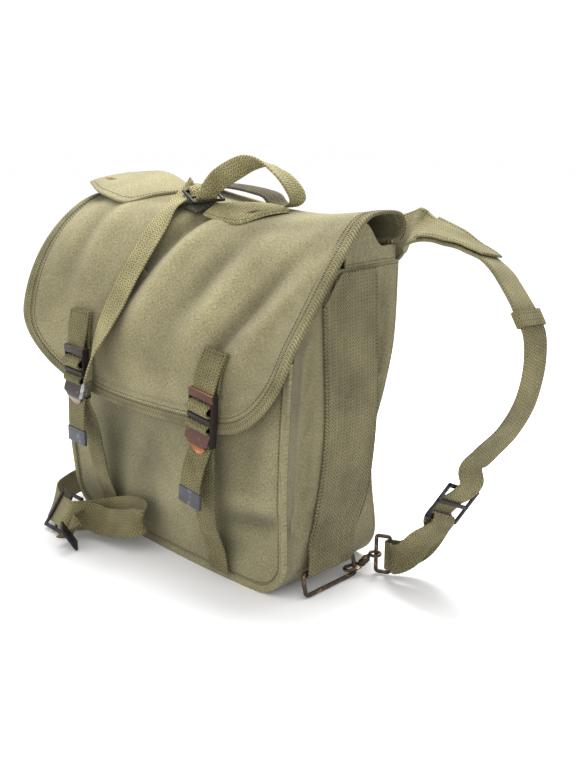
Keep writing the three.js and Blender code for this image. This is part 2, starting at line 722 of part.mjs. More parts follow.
function closingSet({ name, across, up, looseEnd: loose, lean, looseOut }) {
  const x = across * halfWidth;
  const middleHeight = up * mouthHeight;
  const looseEnd = loose * mouthHeight;
  const half = buckleHeight / 2;
  const reach = webbingWidth / 2;
  const slantAt = (z) => Math.atan((flapDepth(x + reach, z) - flapDepth(x - reach, z)) / webbingWidth);
  const slant = 0.5 * slantAt(middleHeight + rodHeight + tabLength);
  const clearOfFlap = (z, angle) => {
    const middleX = x + Math.tan(lean) * (z - middleHeight);
    const under = (side) => flapDepth(middleX + side, z) - side * Math.tan(angle);
    return Math.min(under(-reach - 2), under(0), under(reach + 2));
  };
  const y = clearOfFlap(middleHeight + rodHeight, 0) - buckleStandOff + 1;
  const row = (depth, height) => closingRow(lean, 0, depth, height);
  const wrap = rodWall / 2 + layerGap + webbingWall / 2 + 0.4;
  const tabTop = rodHeight + tabLength;
  const onFlap = (height) => {
    const depth = clearOfFlap(middleHeight + height, slant) - y;
    return depth - flapWall / 2 - 2 * layerGap - webbingWall / 2;
  };
  const tabRow = (depth, height) => closingRow(lean, slant, depth, height);
  const front = webbingWall + layerGap;
  const between = mix(onFlap(tabTop - 18), rodDepth + wrap, 0.5);
  const tabRows = [
    tabRow(onFlap(tabTop), tabTop),
    tabRow(onFlap(tabTop - 8), tabTop - 8),
    tabRow(between, tabTop - 18),
    row(rodDepth + wrap, rodHeight + 2),
    row(rodDepth + wrap * 0.7, rodHeight - wrap * 0.7),
    row(rodDepth, rodHeight - wrap),
    row(rodDepth - wrap * 0.7, rodHeight - wrap * 0.7),
    row(rodDepth - wrap, rodHeight + 2),
    tabRow(between - front - 1.2, tabTop - 18),
    tabRow(onFlap(tabTop - 8) - front - 0.4, tabTop - 8),
    tabRow(onFlap(tabTop) - front, tabTop),
  ];
  const foot = 6;
  const onPanel = frontDepth(x, foot) - weltHeight - 2 * layerGap - webbingWall / 2 - y;
  const upright = (depth, height) => closingRow(0, 0, depth, height);
  const rear = 5.4;
  const strapRows = [
    upright(onPanel, foot - middleHeight),
    upright(onPanel - 0.4 * strapBow, 0.108 * mouthHeight - middleHeight),
    upright(onPanel - 1.3 * strapBow, 0.209 * mouthHeight - middleHeight),
    closingRow(lean / 2, 0, mix(onPanel - 1.3 * strapBow, rear, 0.6), -half - 22),
    row(rear, -half - 4),
    row(rear, -10),
    row(rear, 4),
    row(4.6, 10.5),
    row(1.4, 13),
    row(-2.4, 11),
    row(-3.3, 8),
    row(-1.9, 5.3),
    row(0.6, 4.1),
    row(2.2, 1.6),
    row(2.2, -0.6),
    row(0.6, -3.2),
    row(-1.8, -4.4),
    row(-2.8, -6.4),
    row(-1.2, -8.8),
    row(1.6, -10.4),
    row(2.3, -13),
    row(2.3, -17),
    row(2.2, -half),
    row(0.4, -half - 6),
    row(mix(0, looseOut, 0.6), -half - 18),
    row(looseOut, tipLength + seamGap - looseEnd + 6),
    row(looseOut, tipLength + seamGap - looseEnd),
  ];
  const tip = box(webbingWidth + 1.6, tipWall, tipLength, 0, looseOut, tipLength / 2 - looseEnd);
  const frame = piece('closing_buckle_' + name, buckleGeometry(), name === 'right' ? copperMaterial : blackenedMaterial);
  frame.rotation.y = lean;
  const end = piece('closing_tip_' + name, tip, zincMaterial);
  end.rotation.y = lean;
  const set = group(
    piece('closing_tab_' + name, strap(tabRows, webbingWidth, webbingWall, 30), webbingMaterial),
    frame,
    piece('closing_strap_' + name, strap(strapRows, webbingWidth - 0.4, webbingWall, 52), webbingMaterial),
    end,
  );
  set.position.set(x, y, middleHeight);
  return set;
}

// Lifted patches on the flap's top. Across is a share of half the width, out of bagDepth; lift in mm.
const padRows = {
  left: [
    { at: 0, frontX: -1.06, frontY: -0.235, frontLift: 13, backX: -1.07, backY: 0.11, backLift: 13 },
    { at: 0.25, frontX: -0.86, frontY: -0.295, frontLift: 7, backX: -0.92, backY: 0.17, backLift: 13 },
    { at: 0.55, frontX: -0.61, frontY: -0.265, frontLift: 2.3, backX: -0.75, backY: 0.2, backLift: 12 },
    { at: 0.8, frontX: -0.53, frontY: -0.05, frontLift: 2.6, backX: -0.61, backY: 0.22, backLift: 7 },
    { at: 1, frontX: -0.47, frontY: 0.14, frontLift: 2.4, backX: -0.485, backY: 0.19, backLift: 3 },
  ],
  right: [
    { at: 0, frontX: -0.06, frontY: -0.08, frontLift: 3, backX: -0.085, backY: 0.05, backLift: 4 },
    { at: 0.25, frontX: 0.085, frontY: -0.065, frontLift: 2.3, backX: 0.04, backY: 0.17, backLift: 5 },
    { at: 0.55, frontX: 0.22, frontY: -0.025, frontLift: 2.2, backX: 0.185, backY: 0.27, backLift: 5 },
    { at: 0.8, frontX: 0.315, frontY: 0.125, frontLift: 2.5, backX: 0.285, backY: 0.28, backLift: 4 },
    { at: 1, frontX: 0.385, frontY: 0.235, frontLift: 2.4, backX: 0.37, backY: 0.265, backLift: 2.8 },
  ],
};
const padWall = 1.8;

function topPad(name) {
  const face = (lift) => (across, along) => {
    const read = (column) => readTable(padRows[name], 'at', column, across);
    const x = mix(read('frontX'), read('backX'), along) * halfWidth;
    const y = mix(read('frontY'), read('backY'), along) * bagDepth;
    const over = mix(read('frontLift'), read('backLift'), along);
    const inside = Math.min(Math.max(x, flapLeft), flapRight);
    return point(x, y, flapHeight(inside, y) + over + lift);
  };
  return piece('top_pad_' + name, sheet(face(padWall / 2), face(-padWall / 2), shares(10), shares(4)), webbingMaterial);
}

// The handle over the top: across is a share of half the width, lift is in mm above the flap.
const carryRows = [
  { across: -0.55, lift: 2.6 },
  { across: -0.47, lift: 2.9 },
  { across: -0.36, lift: 8 },
  { across: -0.18, lift: 11 },
  { across: 0, lift: 11.5 },
  { across: 0.1, lift: 10 },
  { across: 0.155, lift: 4.2 },
  { across: 0.2, lift: 2.6 },
];

function carryHandle() {
  const handleY = 0.387 * bagDepth;
  const handleRows = carryRows.map(({ across, lift }) => {
    const x = across * halfWidth;
    const fall = (flapHeight(x, handleY + 10) - flapHeight(x, handleY - 10)) / 20;
    return { middle: point(x, handleY, flapHeight(x, handleY) + lift), across: point(0, 1, fall) };
  });
  return piece('carry_handle', strap(handleRows, webbingWidth - 2, 2.4, 24), darkWebbingMaterial);
}

// Rows of a free strap: x, y, z are shares of half the width, the depth and the height.
function lay(rows) {
  return rows.map(({ x, y, z, turn, wide }) => ({
    middle: point(x * halfWidth, y * bagDepth, z * mouthHeight),
    across: point(...turn),
    wide,
  }));
}

// A fitting's own frame: where it is, the way its bars run, and the way from bar to bar.
function fittingFrame(x, y, z, bars, next) {
  const across = point(...bars).normalize();
  const out = across.clone().cross(point(...next)).normalize();
  const along = out.clone().cross(across);
  const origin = point(x * halfWidth, y * bagDepth, z * mouthHeight);
  const at = (step, lift, side = 0) =>
    origin.clone().addScaledVector(along, step).addScaledVector(out, lift).addScaledVector(across, side);
  const row = (step, lift) => ({ middle: at(step, lift), across });
  const matrix = new THREE.Matrix4().makeBasis(across, along, out).setPosition(origin);
  return { at, row, place: (geometry) => geometry.applyMatrix4(matrix), across, along, out };
}

// A flat frame with bars across it; X is along the bars, Y from bar to bar.
function barFrame(width, height, bars, side, wall, barWide) {
  const rail = (hand) => box(side, height, wall, (hand * (width - side)) / 2, 0, 0);
  return joined([rail(1), rail(-1), ...bars.map((y) => box(width, barWide, wall, 0, y, 0))]);
}

// The long strap over the top, through its own buckle and down across the flap.
const topStrapWidth = 20;
const topFrame = fittingFrame(-0.17, 0.025, 1.171, [0.28, 0.96, 0.05], [-0.912, 0.25, 0.326]);
const topFrameLong = 26;
const topFrameWide = 30;

function topBuckle() {
  const bar = 2.4;
  const ends = (topFrameLong - bar) / 2;
  const frame = barFrame(topFrameWide, topFrameLong, [-ends, -1, ends], bar, bar, bar);
  return piece('top_buckle', topFrame.place(frame), blackenedMaterial);
}

function onFlapTop(across, depth, lift, turn) {
  const x = across * halfWidth;
  const y = depth * bagDepth;
  return { middle: point(x, y, flapHeight(x, y) + lift), across: point(...turn) };
}

// A row on the hanging flap: along is a share of its profile; the strap's width follows the cloth.
function onFlapFront(across, along, lift) {
  const x = across * halfWidth;
  const wide = flapMiddle(x + topStrapWidth / 2, along).sub(flapMiddle(x - topStrapWidth / 2, along));
  return { middle: flapFace(x, along, lift), across: wide.normalize() };
}

function topStrap() {
  const rows = [
    onFlapTop(0.225, 0.37, 2.6, [0, 1, 0]),
    onFlapTop(0.27, 0.37, 3.2, [0, 1, 0]),
    ...lay([
      { x: 0.325, y: 0.37, z: 1.158, turn: [-0.05, 1, 0] },
      { x: 0.34, y: 0.355, z: 1.178, turn: [-0.1, 0.98, 0] },
      { x: 0.328, y: 0.3, z: 1.219, turn: [-0.15, 0.98, 0] },
      { x: 0.285, y: 0.245, z: 1.254, turn: [-0.1, 0.98, -0.2] },
      { x: 0.204, y: 0.215, z: 1.281, turn: [0, 0.95, -0.3] },
      { x: 0.095, y: 0.175, z: 1.281, turn: [0.1, 0.8, -0.6] },
      { x: -0.008, y: 0.13, z: 1.254, turn: [0.15, 0.6, -0.78] },
      { x: -0.09, y: 0.075, z: 1.22, turn: [0.1, 0.65, -0.75] },
    ]),
    { ...topFrame.row(-7.5, 6), across: point(-0.1, 0.86, -0.47) },
    topFrame.row(-6.8, 0.5),
    topFrame.row(-4.8, -2.4),
    topFrame.row(-1, -3.3),
    topFrame.row(3, -2.2),
    topFrame.row(7, 1.6),
    topFrame.row(11.8, 3.4),
    { ...topFrame.row(15.5, 1.6), across: point(0.6, 0.78, 0) },
    onFlapTop(-0.27, -0.16, 6.6, [0.94, -0.33, -0.05]),
    onFlapFront(-0.25, 0.47, 3.4),
    onFlapFront(-0.255, 0.545, 2.7),
    onFlapFront(-0.28, 0.63, 2.9),
    onFlapFront(-0.307, 0.71, 3.2),
    onFlapFront(-0.335, 0.78, 5.5),
    onFlapFront(-0.355, 0.85, 14),
    onFlapFront(-0.375, 0.92, 21),
  ];
  const end = rows.at(-1);
  const travel = end.middle.clone().sub(rows.at(-2).middle).normalize();
  const tipRows = [0.4, 0.7, tipLength].map((gone) => ({
    middle: end.middle.clone().addScaledVector(travel, gone),
    across: end.across,
  }));
  return group(
    piece('top_strap', strap(rows, topStrapWidth, webbingWall, 84), webbingMaterial),
    piece('top_strap_tip', strap(tipRows, topStrapWidth + 1.4, tipWall, 4), zincMaterial),
  );
}

function topBuckleTab() {
  const rows = [-0.33, -0.25, -0.17, -0.105].map((across) => {
    const x = across * halfWidth;
    const fall = (flapHeight(x, 8) - flapHeight(x, -8)) / 16;
    return onFlapTop(across, 0, 2.6, [0, 1, fall]);
  });
  return piece('top_buckle_tab', strap(rows, topFrameWide - 6, webbingWall, 8), darkWebbingMaterial);
}

// The shoulder straps. Each starts wide on the back panel and ends in a slider.
const rootWidth = 46;
const rootWall = 3;
const rightRootRows = [
  { x: 0.74, y: 0.58, z: 0.985, turn: [-0.45, 0.1, 0.88], wide: 0.8 },
  { x: 0.88, y: 0.62, z: 1.045, turn: [-0.45, 0.3, 0.84], wide: 0.85 },
  { x: 1.015, y: 0.625, z: 1.085, turn: [-0.47, 0.6, 0.6], wide: 0.85 },
  { x: 1.1, y: 0.572, z: 1.095, turn: [-0.52, 0.72, 0.45], wide: 0.8 },
  { x: 1.2, y: 0.55, z: 1.098, turn: [-0.57, 0.74, 0.33], wide: 0.66 },
  { x: 1.3, y: 0.535, z: 1.094, turn: [-0.62, 0.72, 0.29], wide: 0.58 },
  { x: 1.41, y: 0.52, z: 1.082, turn: [-0.66, 0.7, 0.27], wide: 0.57 },
  { x: 1.524, y: 0.508, z: 1.064, turn: [-0.58, 0.8, 0.1], wide: 0.57 },
  { x: 1.645, y: 0.492, z: 1.044, turn: [-0.3, 0.94, -0.05], wide: 0.57 },
  { x: 1.74, y: 0.474, z: 1.015, turn: [0, 0.99, -0.14], wide: 0.56 },
  { x: 1.8, y: 0.462, z: 0.985, turn: [0.03, 1, -0.12], wide: 0.55 },
  { x: 1.865, y: 0.455, z: 0.945, turn: [0.05, 1, -0.09], wide: 0.54 },
];
const keeperLong = 12;
const rightKeeper = fittingFrame(1.925, 0.453, 0.9, [0.12, 0.99, -0.06], [0.58, -0.08, -0.8]);
const rightStrapRows = [
  { x: 1.965, y: 0.453, z: 0.86, turn: [0.13, 0.99, -0.09] },
  { x: 1.98, y: 0.453, z: 0.802, turn: [0.11, 0.98, -0.15] },
  { x: 1.971, y: 0.453, z: 0.729, turn: [0.09, 0.97, -0.24] },
  { x: 1.936, y: 0.445, z: 0.647, turn: [0.07, 0.93, -0.36] },
  { x: 1.857, y: 0.437, z: 0.562, turn: [0.03, 0.89, -0.46] },
  { x: 1.73, y: 0.43, z: 0.475, turn: [0.01, 0.82, -0.58] },
  { x: 1.655, y: 0.422, z: 0.419, turn: [0.05, 0.82, -0.57] },
];
const sliderWide = 38;
const sliderLong = 34;
const rightSlider = fittingFrame(1.561, 0.39, 0.293, [0.14, 0.89, -0.43], [0.36, 0.13, 0.93]);
const ringHeight = 36;
const ringDeep = 15;
const ringBend = 2.4;
const ringX = 1.173;
const ringY = 0.251;
const ringHeading = [0.88, 0.47, 0];
const thinWire = 1.7;

function keeperGeometry(width) {
  const outer = solidOf(box(width + 4.4, keeperLong, 6.6, 0, 0, 0));
  const inner = solidOf(box(width + 1.8, 2 * keeperLong, 4, 0, 0, 0));
  return geometryOf(outer.subtract(inner));
}

function sliderGeometry() {
  const bar = 3.6;
  const ends = (sliderLong - bar) / 2;
  return barFrame(sliderWide, sliderLong, [-ends, 0, ends], bar, 2, bar);
}

// The ring's place, and the middle of the bar that the strap goes round.
const ringOut = point(...ringHeading).normalize();
const ringSide = point(-ringOut.y, ringOut.x, 0);
const ringCentre = point(ringX * halfWidth, ringY * bagDepth, ringHeight / 2 + 0.9);
const ringBarReach = ringDeep / 2 - thinWire;

function ringRow(out, side) {
  const middle = ringCentre.clone().addScaledVector(ringOut, ringBarReach + out).addScaledVector(ringSide, side);
  return { middle, across: point(0, 0, -1) };
}

function rightShoulder() {
  const slider = rightSlider;
  const ends = (sliderLong - 3.6) / 2;
  const wrap = thinWire + layerGap + webbingWall / 2 + 0.6;
  const strapRows = [
    { middle: rightKeeper.at(0.5, 0), across: rightKeeper.across },
    ...lay(rightStrapRows),
    slider.row(ends + 7, 3.4),
    slider.row(ends, 2.9),
    slider.row(ends / 2, 0.4),
    slider.row(1.5, -3),
    slider.row(-3, -3.9),
    slider.row(-ends, -5.4),
    ...lay([
      { x: 1.457, y: 0.405, z: 0.2, turn: [0.1, 0.8, -0.6] },
      { x: 1.32, y: 0.385, z: 0.095, turn: [0.02, 0.2, -0.97] },
      { x: 1.25, y: 0.335, z: 0.0725, turn: [0, 0, -1] },
    ]),
    ringRow(1, wrap),
    ringRow(-wrap * 0.75, wrap * 0.75),
    ringRow(-wrap, 0),
    ringRow(-wrap * 0.75, -wrap * 0.75),
    ringRow(1, -wrap),
    ...lay([
      { x: 1.26, y: 0.235, z: 0.0735, turn: [0, 0, -1] },
      { x: 1.34, y: 0.25, z: 0.1, turn: [0.05, 0.25, -0.96] },
      { x: 1.43, y: 0.285, z: 0.165, turn: [0.1, 0.6, -0.8] },
      { x: 1.505, y: 0.315, z: 0.208, turn: [0.13, 0.8, -0.58] },
    ]),
    slider.row(-ends - 3, 3.6),
    slider.row(-ends + 0.8, 3.1),
    slider.row(-ends + 3.8, 0),
    slider.row(-ends + 0.8, -2.9),
    slider.row(-ends - 4, -2.9),
  ];
  const rootRows = [...lay(rightRootRows), { ...rightKeeper.row(-1.2, 0), wide: 0.54 }];
  const rootSpans = rootRows.length - 1;
  const overlayLift = rootWall / 2 + 3 * layerGap + webbingWall / 2;
  const overlay = { lift: overlayLift, from: 4 / rootSpans, to: 8 / rootSpans };
  const ring = wireLoop(ringCentre, point(0, 0, 1), ringOut, ringHeight, ringDeep, ringBend, thinWire);
  return group(
    piece('shoulder_root_right', strap(rootRows, rootWidth, rootWall, 6 * rootSpans), webbingMaterial),
    piece('root_overlay_right', strap(rootRows, rootWidth, webbingWall, 24, overlay), webbingMaterial),
    piece('keeper_right', rightKeeper.place(keeperGeometry(webbingWidth)), webbingMaterial),
    piece('shoulder_strap_right', strap(strapRows, webbingWidth, webbingWall, 96), webbingMaterial),
    piece('slider_right', slider.place(sliderGeometry()), blackenedMaterial),
    piece('strap_ring_right', ring, bronzeMaterial),
    piece('snap_hook_right', snapHook(), bronzeMaterial),
  );
}

// The hook holds the ring with its eye and the wire loop's rear leg with its closed bow.
function snapHook() {
  const eyeReach = 4.4;
  const wire = 1.4;
  const eye = new THREE.TorusGeometry(eyeReach, wire, 6, 12);
  const eyeHeight = 0.5 * ringHeight;
  const eyeCentre = ringCentre.clone().addScaledVector(ringOut, -ringBarReach - 0.9).setZ(eyeHeight);
  eye.translate(eyeCentre.x, eyeCentre.y, eyeCentre.z);
  const low = readTable(sideWebRows, 'up', 'wide', wireHeight / mouthHeight) * sideWebWidth;
  const middleY = readTable(sideWebRows, 'up', 'out', wireHeight / mouthHeight) * bagDepth;
  const legY = middleY + low / 2 + 3.5;
  const legHeight = 7;
  const legX = wireX + (wireLean * (wireHeight - legHeight)) / wireHeight;
  const bowLong = 17;
  const heading = point(0.35, 0.93, 0.12).normalize();
  const bowCentre = point(legX, legY - 2, legHeight);
  const flat = point(0.93, -0.35, 0).normalize();
  const bow = wireLoop(bowCentre, heading, flat, bowLong, 10, 3, wire);
  const shankStart = bowCentre.clone().addScaledVector(heading, bowLong / 2 - wire);
  const shankEnd = eyeCentre.clone().add(point(-0.75, -0.66, -0.2).normalize().multiplyScalar(eyeReach));
  const barrel = (share) => shankStart.clone().lerp(shankEnd, share);
  const body = rod([
    { middle: barrel(0), radius: 1.5 },
    { middle: barrel(0.12), radius: 3.2 },
    { middle: barrel(0.7), radius: 3.2 },
    { middle: barrel(1), radius: 1.5 },
  ], 8, 7);
  return joined([eye, bow, body]);
}

const leftRootRows = [
  { x: -0.8, y: 0.562, z: 0.95, turn: [0.6, 0, 0.8], wide: 1 },
  { x: -0.91, y: 0.6, z: 1.01, turn: [0.55, 0.25, 0.8], wide: 1 },
  { x: -1.02, y: 0.65, z: 1.045, turn: [0.5, 0.6, 0.6], wide: 0.95 },
  { x: -1.12, y: 0.65, z: 1.03, turn: [0.3, 0.95, 0.1], wide: 0.8 },
  { x: -1.16, y: 0.62, z: 0.97, turn: [0, 1, -0.05], wide: 0.66 },
  { x: -1.17, y: 0.6, z: 0.92, turn: [0, 1, -0.08], wide: 0.56 },
];
const leftKeeper = fittingFrame(-1.172, 0.585, 0.87, [0, 0.98, -0.1], [0, -0.1, -0.98]);
const leftSlider = fittingFrame(-0.693, -0.875, 0.07, [0, -0.61, -0.79], [-1, 0, 0]);

function leftShoulder() {
  const slider = leftSlider;
  const rootRows = [...lay(leftRootRows), { ...leftKeeper.row(-1.2, 0), wide: 0.54 }];
  const ends = (sliderLong - 3.6) / 2;
  const strapRows = [
    { middle: leftKeeper.at(0.5, 0), across: leftKeeper.across },
    ...lay([
      { x: -1.17, y: 0.57, z: 0.82, turn: [0, 0.97, -0.2] },
      { x: -1.165, y: 0.45, z: 0.6, turn: [0, 0.9, -0.4] },
      { x: -1.16, y: 0.2, z: 0.33, turn: [0, 0.75, -0.66] },
      { x: -1.15, y: -0.08, z: 0.14, turn: [0, 0.45, -0.9] },
      { x: -1.13, y: -0.32, z: 0.075, turn: [0, 0.1, -0.99] },
      { x: -1.08, y: -0.56, z: 0.064, turn: [0.05, 0, -1] },
      { x: -0.99, y: -0.74, z: 0.064, turn: [0, -0.25, -0.95] },
    ]),
    slider.row(ends + 5, 4),
    slider.row(ends, 2.9),
    slider.row(ends / 2, 0.2),
    slider.row(1.5, -2.9),
    slider.row(-4, -4.2),
    slider.row(-ends, -5.4),
    ...lay([
      { x: -0.45, y: -0.72, z: 0.085, turn: [0, -0.5, -0.86] },
      { x: -0.36, y: -0.655, z: 0.1, turn: [0, -0.4, -0.92] },
      { x: -0.21, y: -0.635, z: 0.122, turn: [0, -0.4, -0.92] },
      { x: -0.12, y: -0.64, z: 0.125, turn: [0, -0.4, -0.92] },
      { x: -0.075, y: -0.675, z: 0.12, turn: [0, -0.4, -0.92] },
      { x: -0.12, y: -0.725, z: 0.105, turn: [0, -0.4, -0.92] },
      { x: -0.25, y: -0.755, z: 0.085, turn: [0, -0.4, -0.92] },
      { x: -0.37, y: -0.775, z: 0.075, turn: [0, -0.45, -0.9] },
      { x: -0.47, y: -0.8, z: 0.078, turn: [0, -0.55, -0.84] },
    ]),
    slider.row(-ends - 3, -2.9),
    slider.row(-ends + 0.8, -2.9),
    slider.row(-ends + 3.8, 0),
    slider.row(-ends + 0.8, 2.9),
    slider.row(-ends - 4, 4),
    ...lay([
      { x: -0.49, y: -0.965, z: 0.06, turn: [0.05, -0.7, -0.71] },
      { x: -0.43, y: -1, z: 0.056, turn: [0.12, -0.74, -0.66] },
    ]),
  ];
  const end = strapRows.at(-1);
  const travel = point(0.88, -0.42, -0.22).normalize();
  const across = point(-0.1, 0.75, -0.66).negate();
  const tipRows = [0.4, 0.8, 1.2, tipLength].map((gone) => ({
    middle: end.middle.clone().addScaledVector(travel, gone),
    across,
  }));
  return group(
    piece('shoulder_root_left', strap(rootRows, rootWidth, rootWall, 28), webbingMaterial),
    piece('keeper_left', leftKeeper.place(keeperGeometry(webbingWidth)), webbingMaterial),
    piece('shoulder_strap_left', strap(strapRows, webbingWidth, webbingWall, 96), webbingMaterial),
    piece('slider_left', slider.place(sliderGeometry()), blackenedMaterial),
    piece('strap_tip_left', strap(tipRows, webbingWidth + 1.4, tipWall, 6), zincMaterial),
  );
}

export default group(
  frontPanel(),
  backPanel(),
  gusset(),
  mouthCollar(),
  flap(),
  sideFittings('right', 1),
  sideFittings('left', -1),
  ...closingRows.map(closingSet),
  topPad('left'),
  topPad('right'),
  carryHandle(),
  topBuckle(),
  topBuckleTab(),
  topStrap(),
  rightShoulder(),
  leftShoulder(),
);
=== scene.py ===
import math

import bmesh
import bpy
import numpy as np
from mathutils import Matrix, Vector


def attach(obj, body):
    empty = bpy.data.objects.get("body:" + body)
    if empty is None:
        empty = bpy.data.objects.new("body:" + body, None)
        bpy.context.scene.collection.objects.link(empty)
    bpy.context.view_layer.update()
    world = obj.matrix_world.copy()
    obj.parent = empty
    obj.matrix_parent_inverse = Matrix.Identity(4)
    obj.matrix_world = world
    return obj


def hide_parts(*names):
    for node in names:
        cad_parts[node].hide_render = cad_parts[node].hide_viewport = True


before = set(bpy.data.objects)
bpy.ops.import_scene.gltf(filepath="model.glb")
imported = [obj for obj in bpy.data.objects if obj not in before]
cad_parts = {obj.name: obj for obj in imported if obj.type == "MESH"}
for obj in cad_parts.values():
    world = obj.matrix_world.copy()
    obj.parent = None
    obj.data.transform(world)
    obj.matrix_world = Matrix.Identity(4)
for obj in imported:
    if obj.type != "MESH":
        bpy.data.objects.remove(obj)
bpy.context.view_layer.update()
mm = 0.001  # every size below is in millimetres

camera = {"place": (624.7, -525.9, 381.2), "look": (-0.687, 0.668, -0.286), "lens": 44.63}
cameraData = bpy.data.cameras.new("camera")
cameraData.lens = camera["lens"]
cameraObject = bpy.data.objects.new("camera", cameraData)
cameraObject.location = Vector(camera["place"]) * mm
cameraObject.rotation_euler = Vector(camera["look"]).to_track_quat("-Z", "Y").to_euler()
bpy.context.scene.collection.objects.link(cameraObject)
bpy.context.scene.camera = cameraObject
print("camera placed")

# ---- colours and materials


def linear(hexText):
    values = [int(hexText[i:i + 2], 16) / 255 for i in (0, 2, 4)]
    return tuple([v / 12.92 if v <= 0.04045 else ((v + 0.055) / 1.055) ** 2.4 for v in values] + [1])


def addNode(tree, kind, settings=None, links=None):
    node = tree.nodes.new(kind)
    for key, value in (settings or {}).items():
        if isinstance(key, str) and key[0].islower():
            setattr(node, key, value)
        else:
            node.inputs[key].default_value = value
    for key, source in (links or {}).items():
        tree.links.new(source if isinstance(source, bpy.types.NodeSocket) else source.outputs[0], node.inputs[key])
    return node


def newMaterial(name):
    material = bpy.data.materials.new(name)
    material.use_nodes = True
    tree = material.node_tree
    tree.nodes.clear()
    output = addNode(tree, "ShaderNodeOutputMaterial")
    shader = addNode(tree, "ShaderNodeBsdfPrincipled")
    tree.links.new(shader.outputs[0], output.inputs[0])
    return material, tree, shader


def mixColours(tree, first, second, factor, blend="MIX"):
    node = addNode(tree, "ShaderNodeMix", {"data_type": "RGBA", "blend_type": blend})
    for socket, value in ((node.inputs[6], first), (node.inputs[7], second), (node.inputs[0], factor)):
        if isinstance(value, (tuple, float, int)):
            socket.default_value = value
        else:
            tree.links.new(value if isinstance(value, bpy.types.NodeSocket) else value.outputs[0], socket)
    return node.outputs[2]


def steps(tree, source, *stops):
    node = addNode(tree, "ShaderNodeValToRGB", links={0: source})
    ramp = node.color_ramp
    for i, (place, value) in enumerate(stops):
        stop = ramp.elements[i] if i < 2 else ramp.elements.new(place)
        stop.position = place
        stop.color = value if isinstance(value, tuple) else (value, value, value, 1)
    return node.outputs[0]


# Cotton duck: dyed in the piece, so it fades in soft clouds, and its uneven threads show as slubs.
# The real threads lie 0.6 mm apart; they are drawn 1.3 mm apart so that they show at this distance.
def canvasMaterial(name, pale, base, deep, relief=0.4):
    material, tree, shader = newMaterial(name)
    uv = addNode(tree, "ShaderNodeUVMap", {"uv_map": "cloth"})
    place = addNode(tree, "ShaderNodeTexCoord")
    clouds = addNode(tree, "ShaderNodeTexNoise", {"Scale": 14, "Detail": 4, "Roughness": 0.6},
                     {"Vector": place.outputs["Object"]})
    mottle = addNode(tree, "ShaderNodeTexNoise", {"Scale": 170, "Detail": 3}, {"Vector": place.outputs["Object"]})
    slubs = []
    for stretch in ((420, 1300, 1), (1300, 420, 1)):  # slubs 0.8 mm by 2.4 mm, along the weft and the warp
        laid = addNode(tree, "ShaderNodeMapping", {"Scale": stretch}, {"Vector": uv})
        slubs.append(addNode(tree, "ShaderNodeTexNoise", {"Scale": 1, "Detail": 2, "Roughness": 0.55},
                             {"Vector": laid}))
    slub = addNode(tree, "ShaderNodeMath", {"operation": "ADD"}, {0: slubs[0], 1: slubs[1]})
    slub = addNode(tree, "ShaderNodeMath", {"operation": "MULTIPLY", 1: 0.5}, {0: slub})
    parts = addNode(tree, "ShaderNodeSeparateXYZ", links={0: uv})
    waves = []
    for axis in ("X", "Y"):
        turns = addNode(tree, "ShaderNodeMath", {"operation": "MULTIPLY", 1: 2 * math.pi / 0.0013},
                        {0: parts.outputs[axis]})
        waves.append(addNode(tree, "ShaderNodeMath", {"operation": "SINE"}, {0: turns}))
    weave = addNode(tree, "ShaderNodeMath", {"operation": "MULTIPLY"}, {0: waves[0], 1: waves[1]})
    faded = steps(tree, clouds, (0.32, linear(deep)), (0.5, linear(base)), (0.68, linear(pale)))
    slubTone = steps(tree, slub, (0.36, 0.58), (0.64, 1.4))
    toned = mixColours(tree, faded, slubTone, 0.9, "MULTIPLY")
    grain = steps(tree, mottle, (0.3, 0.86), (0.7, 1.12))
    toned = mixColours(tree, toned, grain, 0.3, "MULTIPLY")
    # The attribute read here runs from -1 to 1. On the cloth it is painted shading: painted shade in the folds'
    # valleys and along the seams, and painted highlight on the folds' ridges and on the front welt.
    worn = addNode(tree, "ShaderNodeAttribute", {"attribute_name": "shadeAndWear"})
    paintedShadingTone = addNode(tree, "ShaderNodeMapRange", {1: -1.0, 2: 1.0, 3: 0.45, 4: 1.55}, {0: worn.outputs["Fac"]})
    toned = mixColours(tree, toned, paintedShadingTone, 1.0, "MULTIPLY")
    weaveTone = addNode(tree, "ShaderNodeMapRange", {1: -1.0, 2: 1.0, 3: 0.93, 4: 1.06}, {0: weave})
    toned = mixColours(tree, toned, weaveTone, 0.7, "MULTIPLY")
    tree.links.new(toned, shader.inputs["Base Color"])
    height = addNode(tree, "ShaderNodeMath", {"operation": "MULTIPLY_ADD", 1: 7.0}, {0: slub, 2: weave})
    bump = addNode(tree, "ShaderNodeBump", {"Strength": relief, "Distance": 0.0004}, {"Height": height})
    tree.links.new(bump.outputs[0], shader.inputs["Normal"])
    shader.inputs["Roughness"].default_value = 0.95
    shader.inputs["Specular IOR Level"].default_value = 0.2
    shader.inputs["Sheen Weight"].default_value = 0.12
    shader.inputs["Sheen Roughness"].default_value = 0.5
    return material
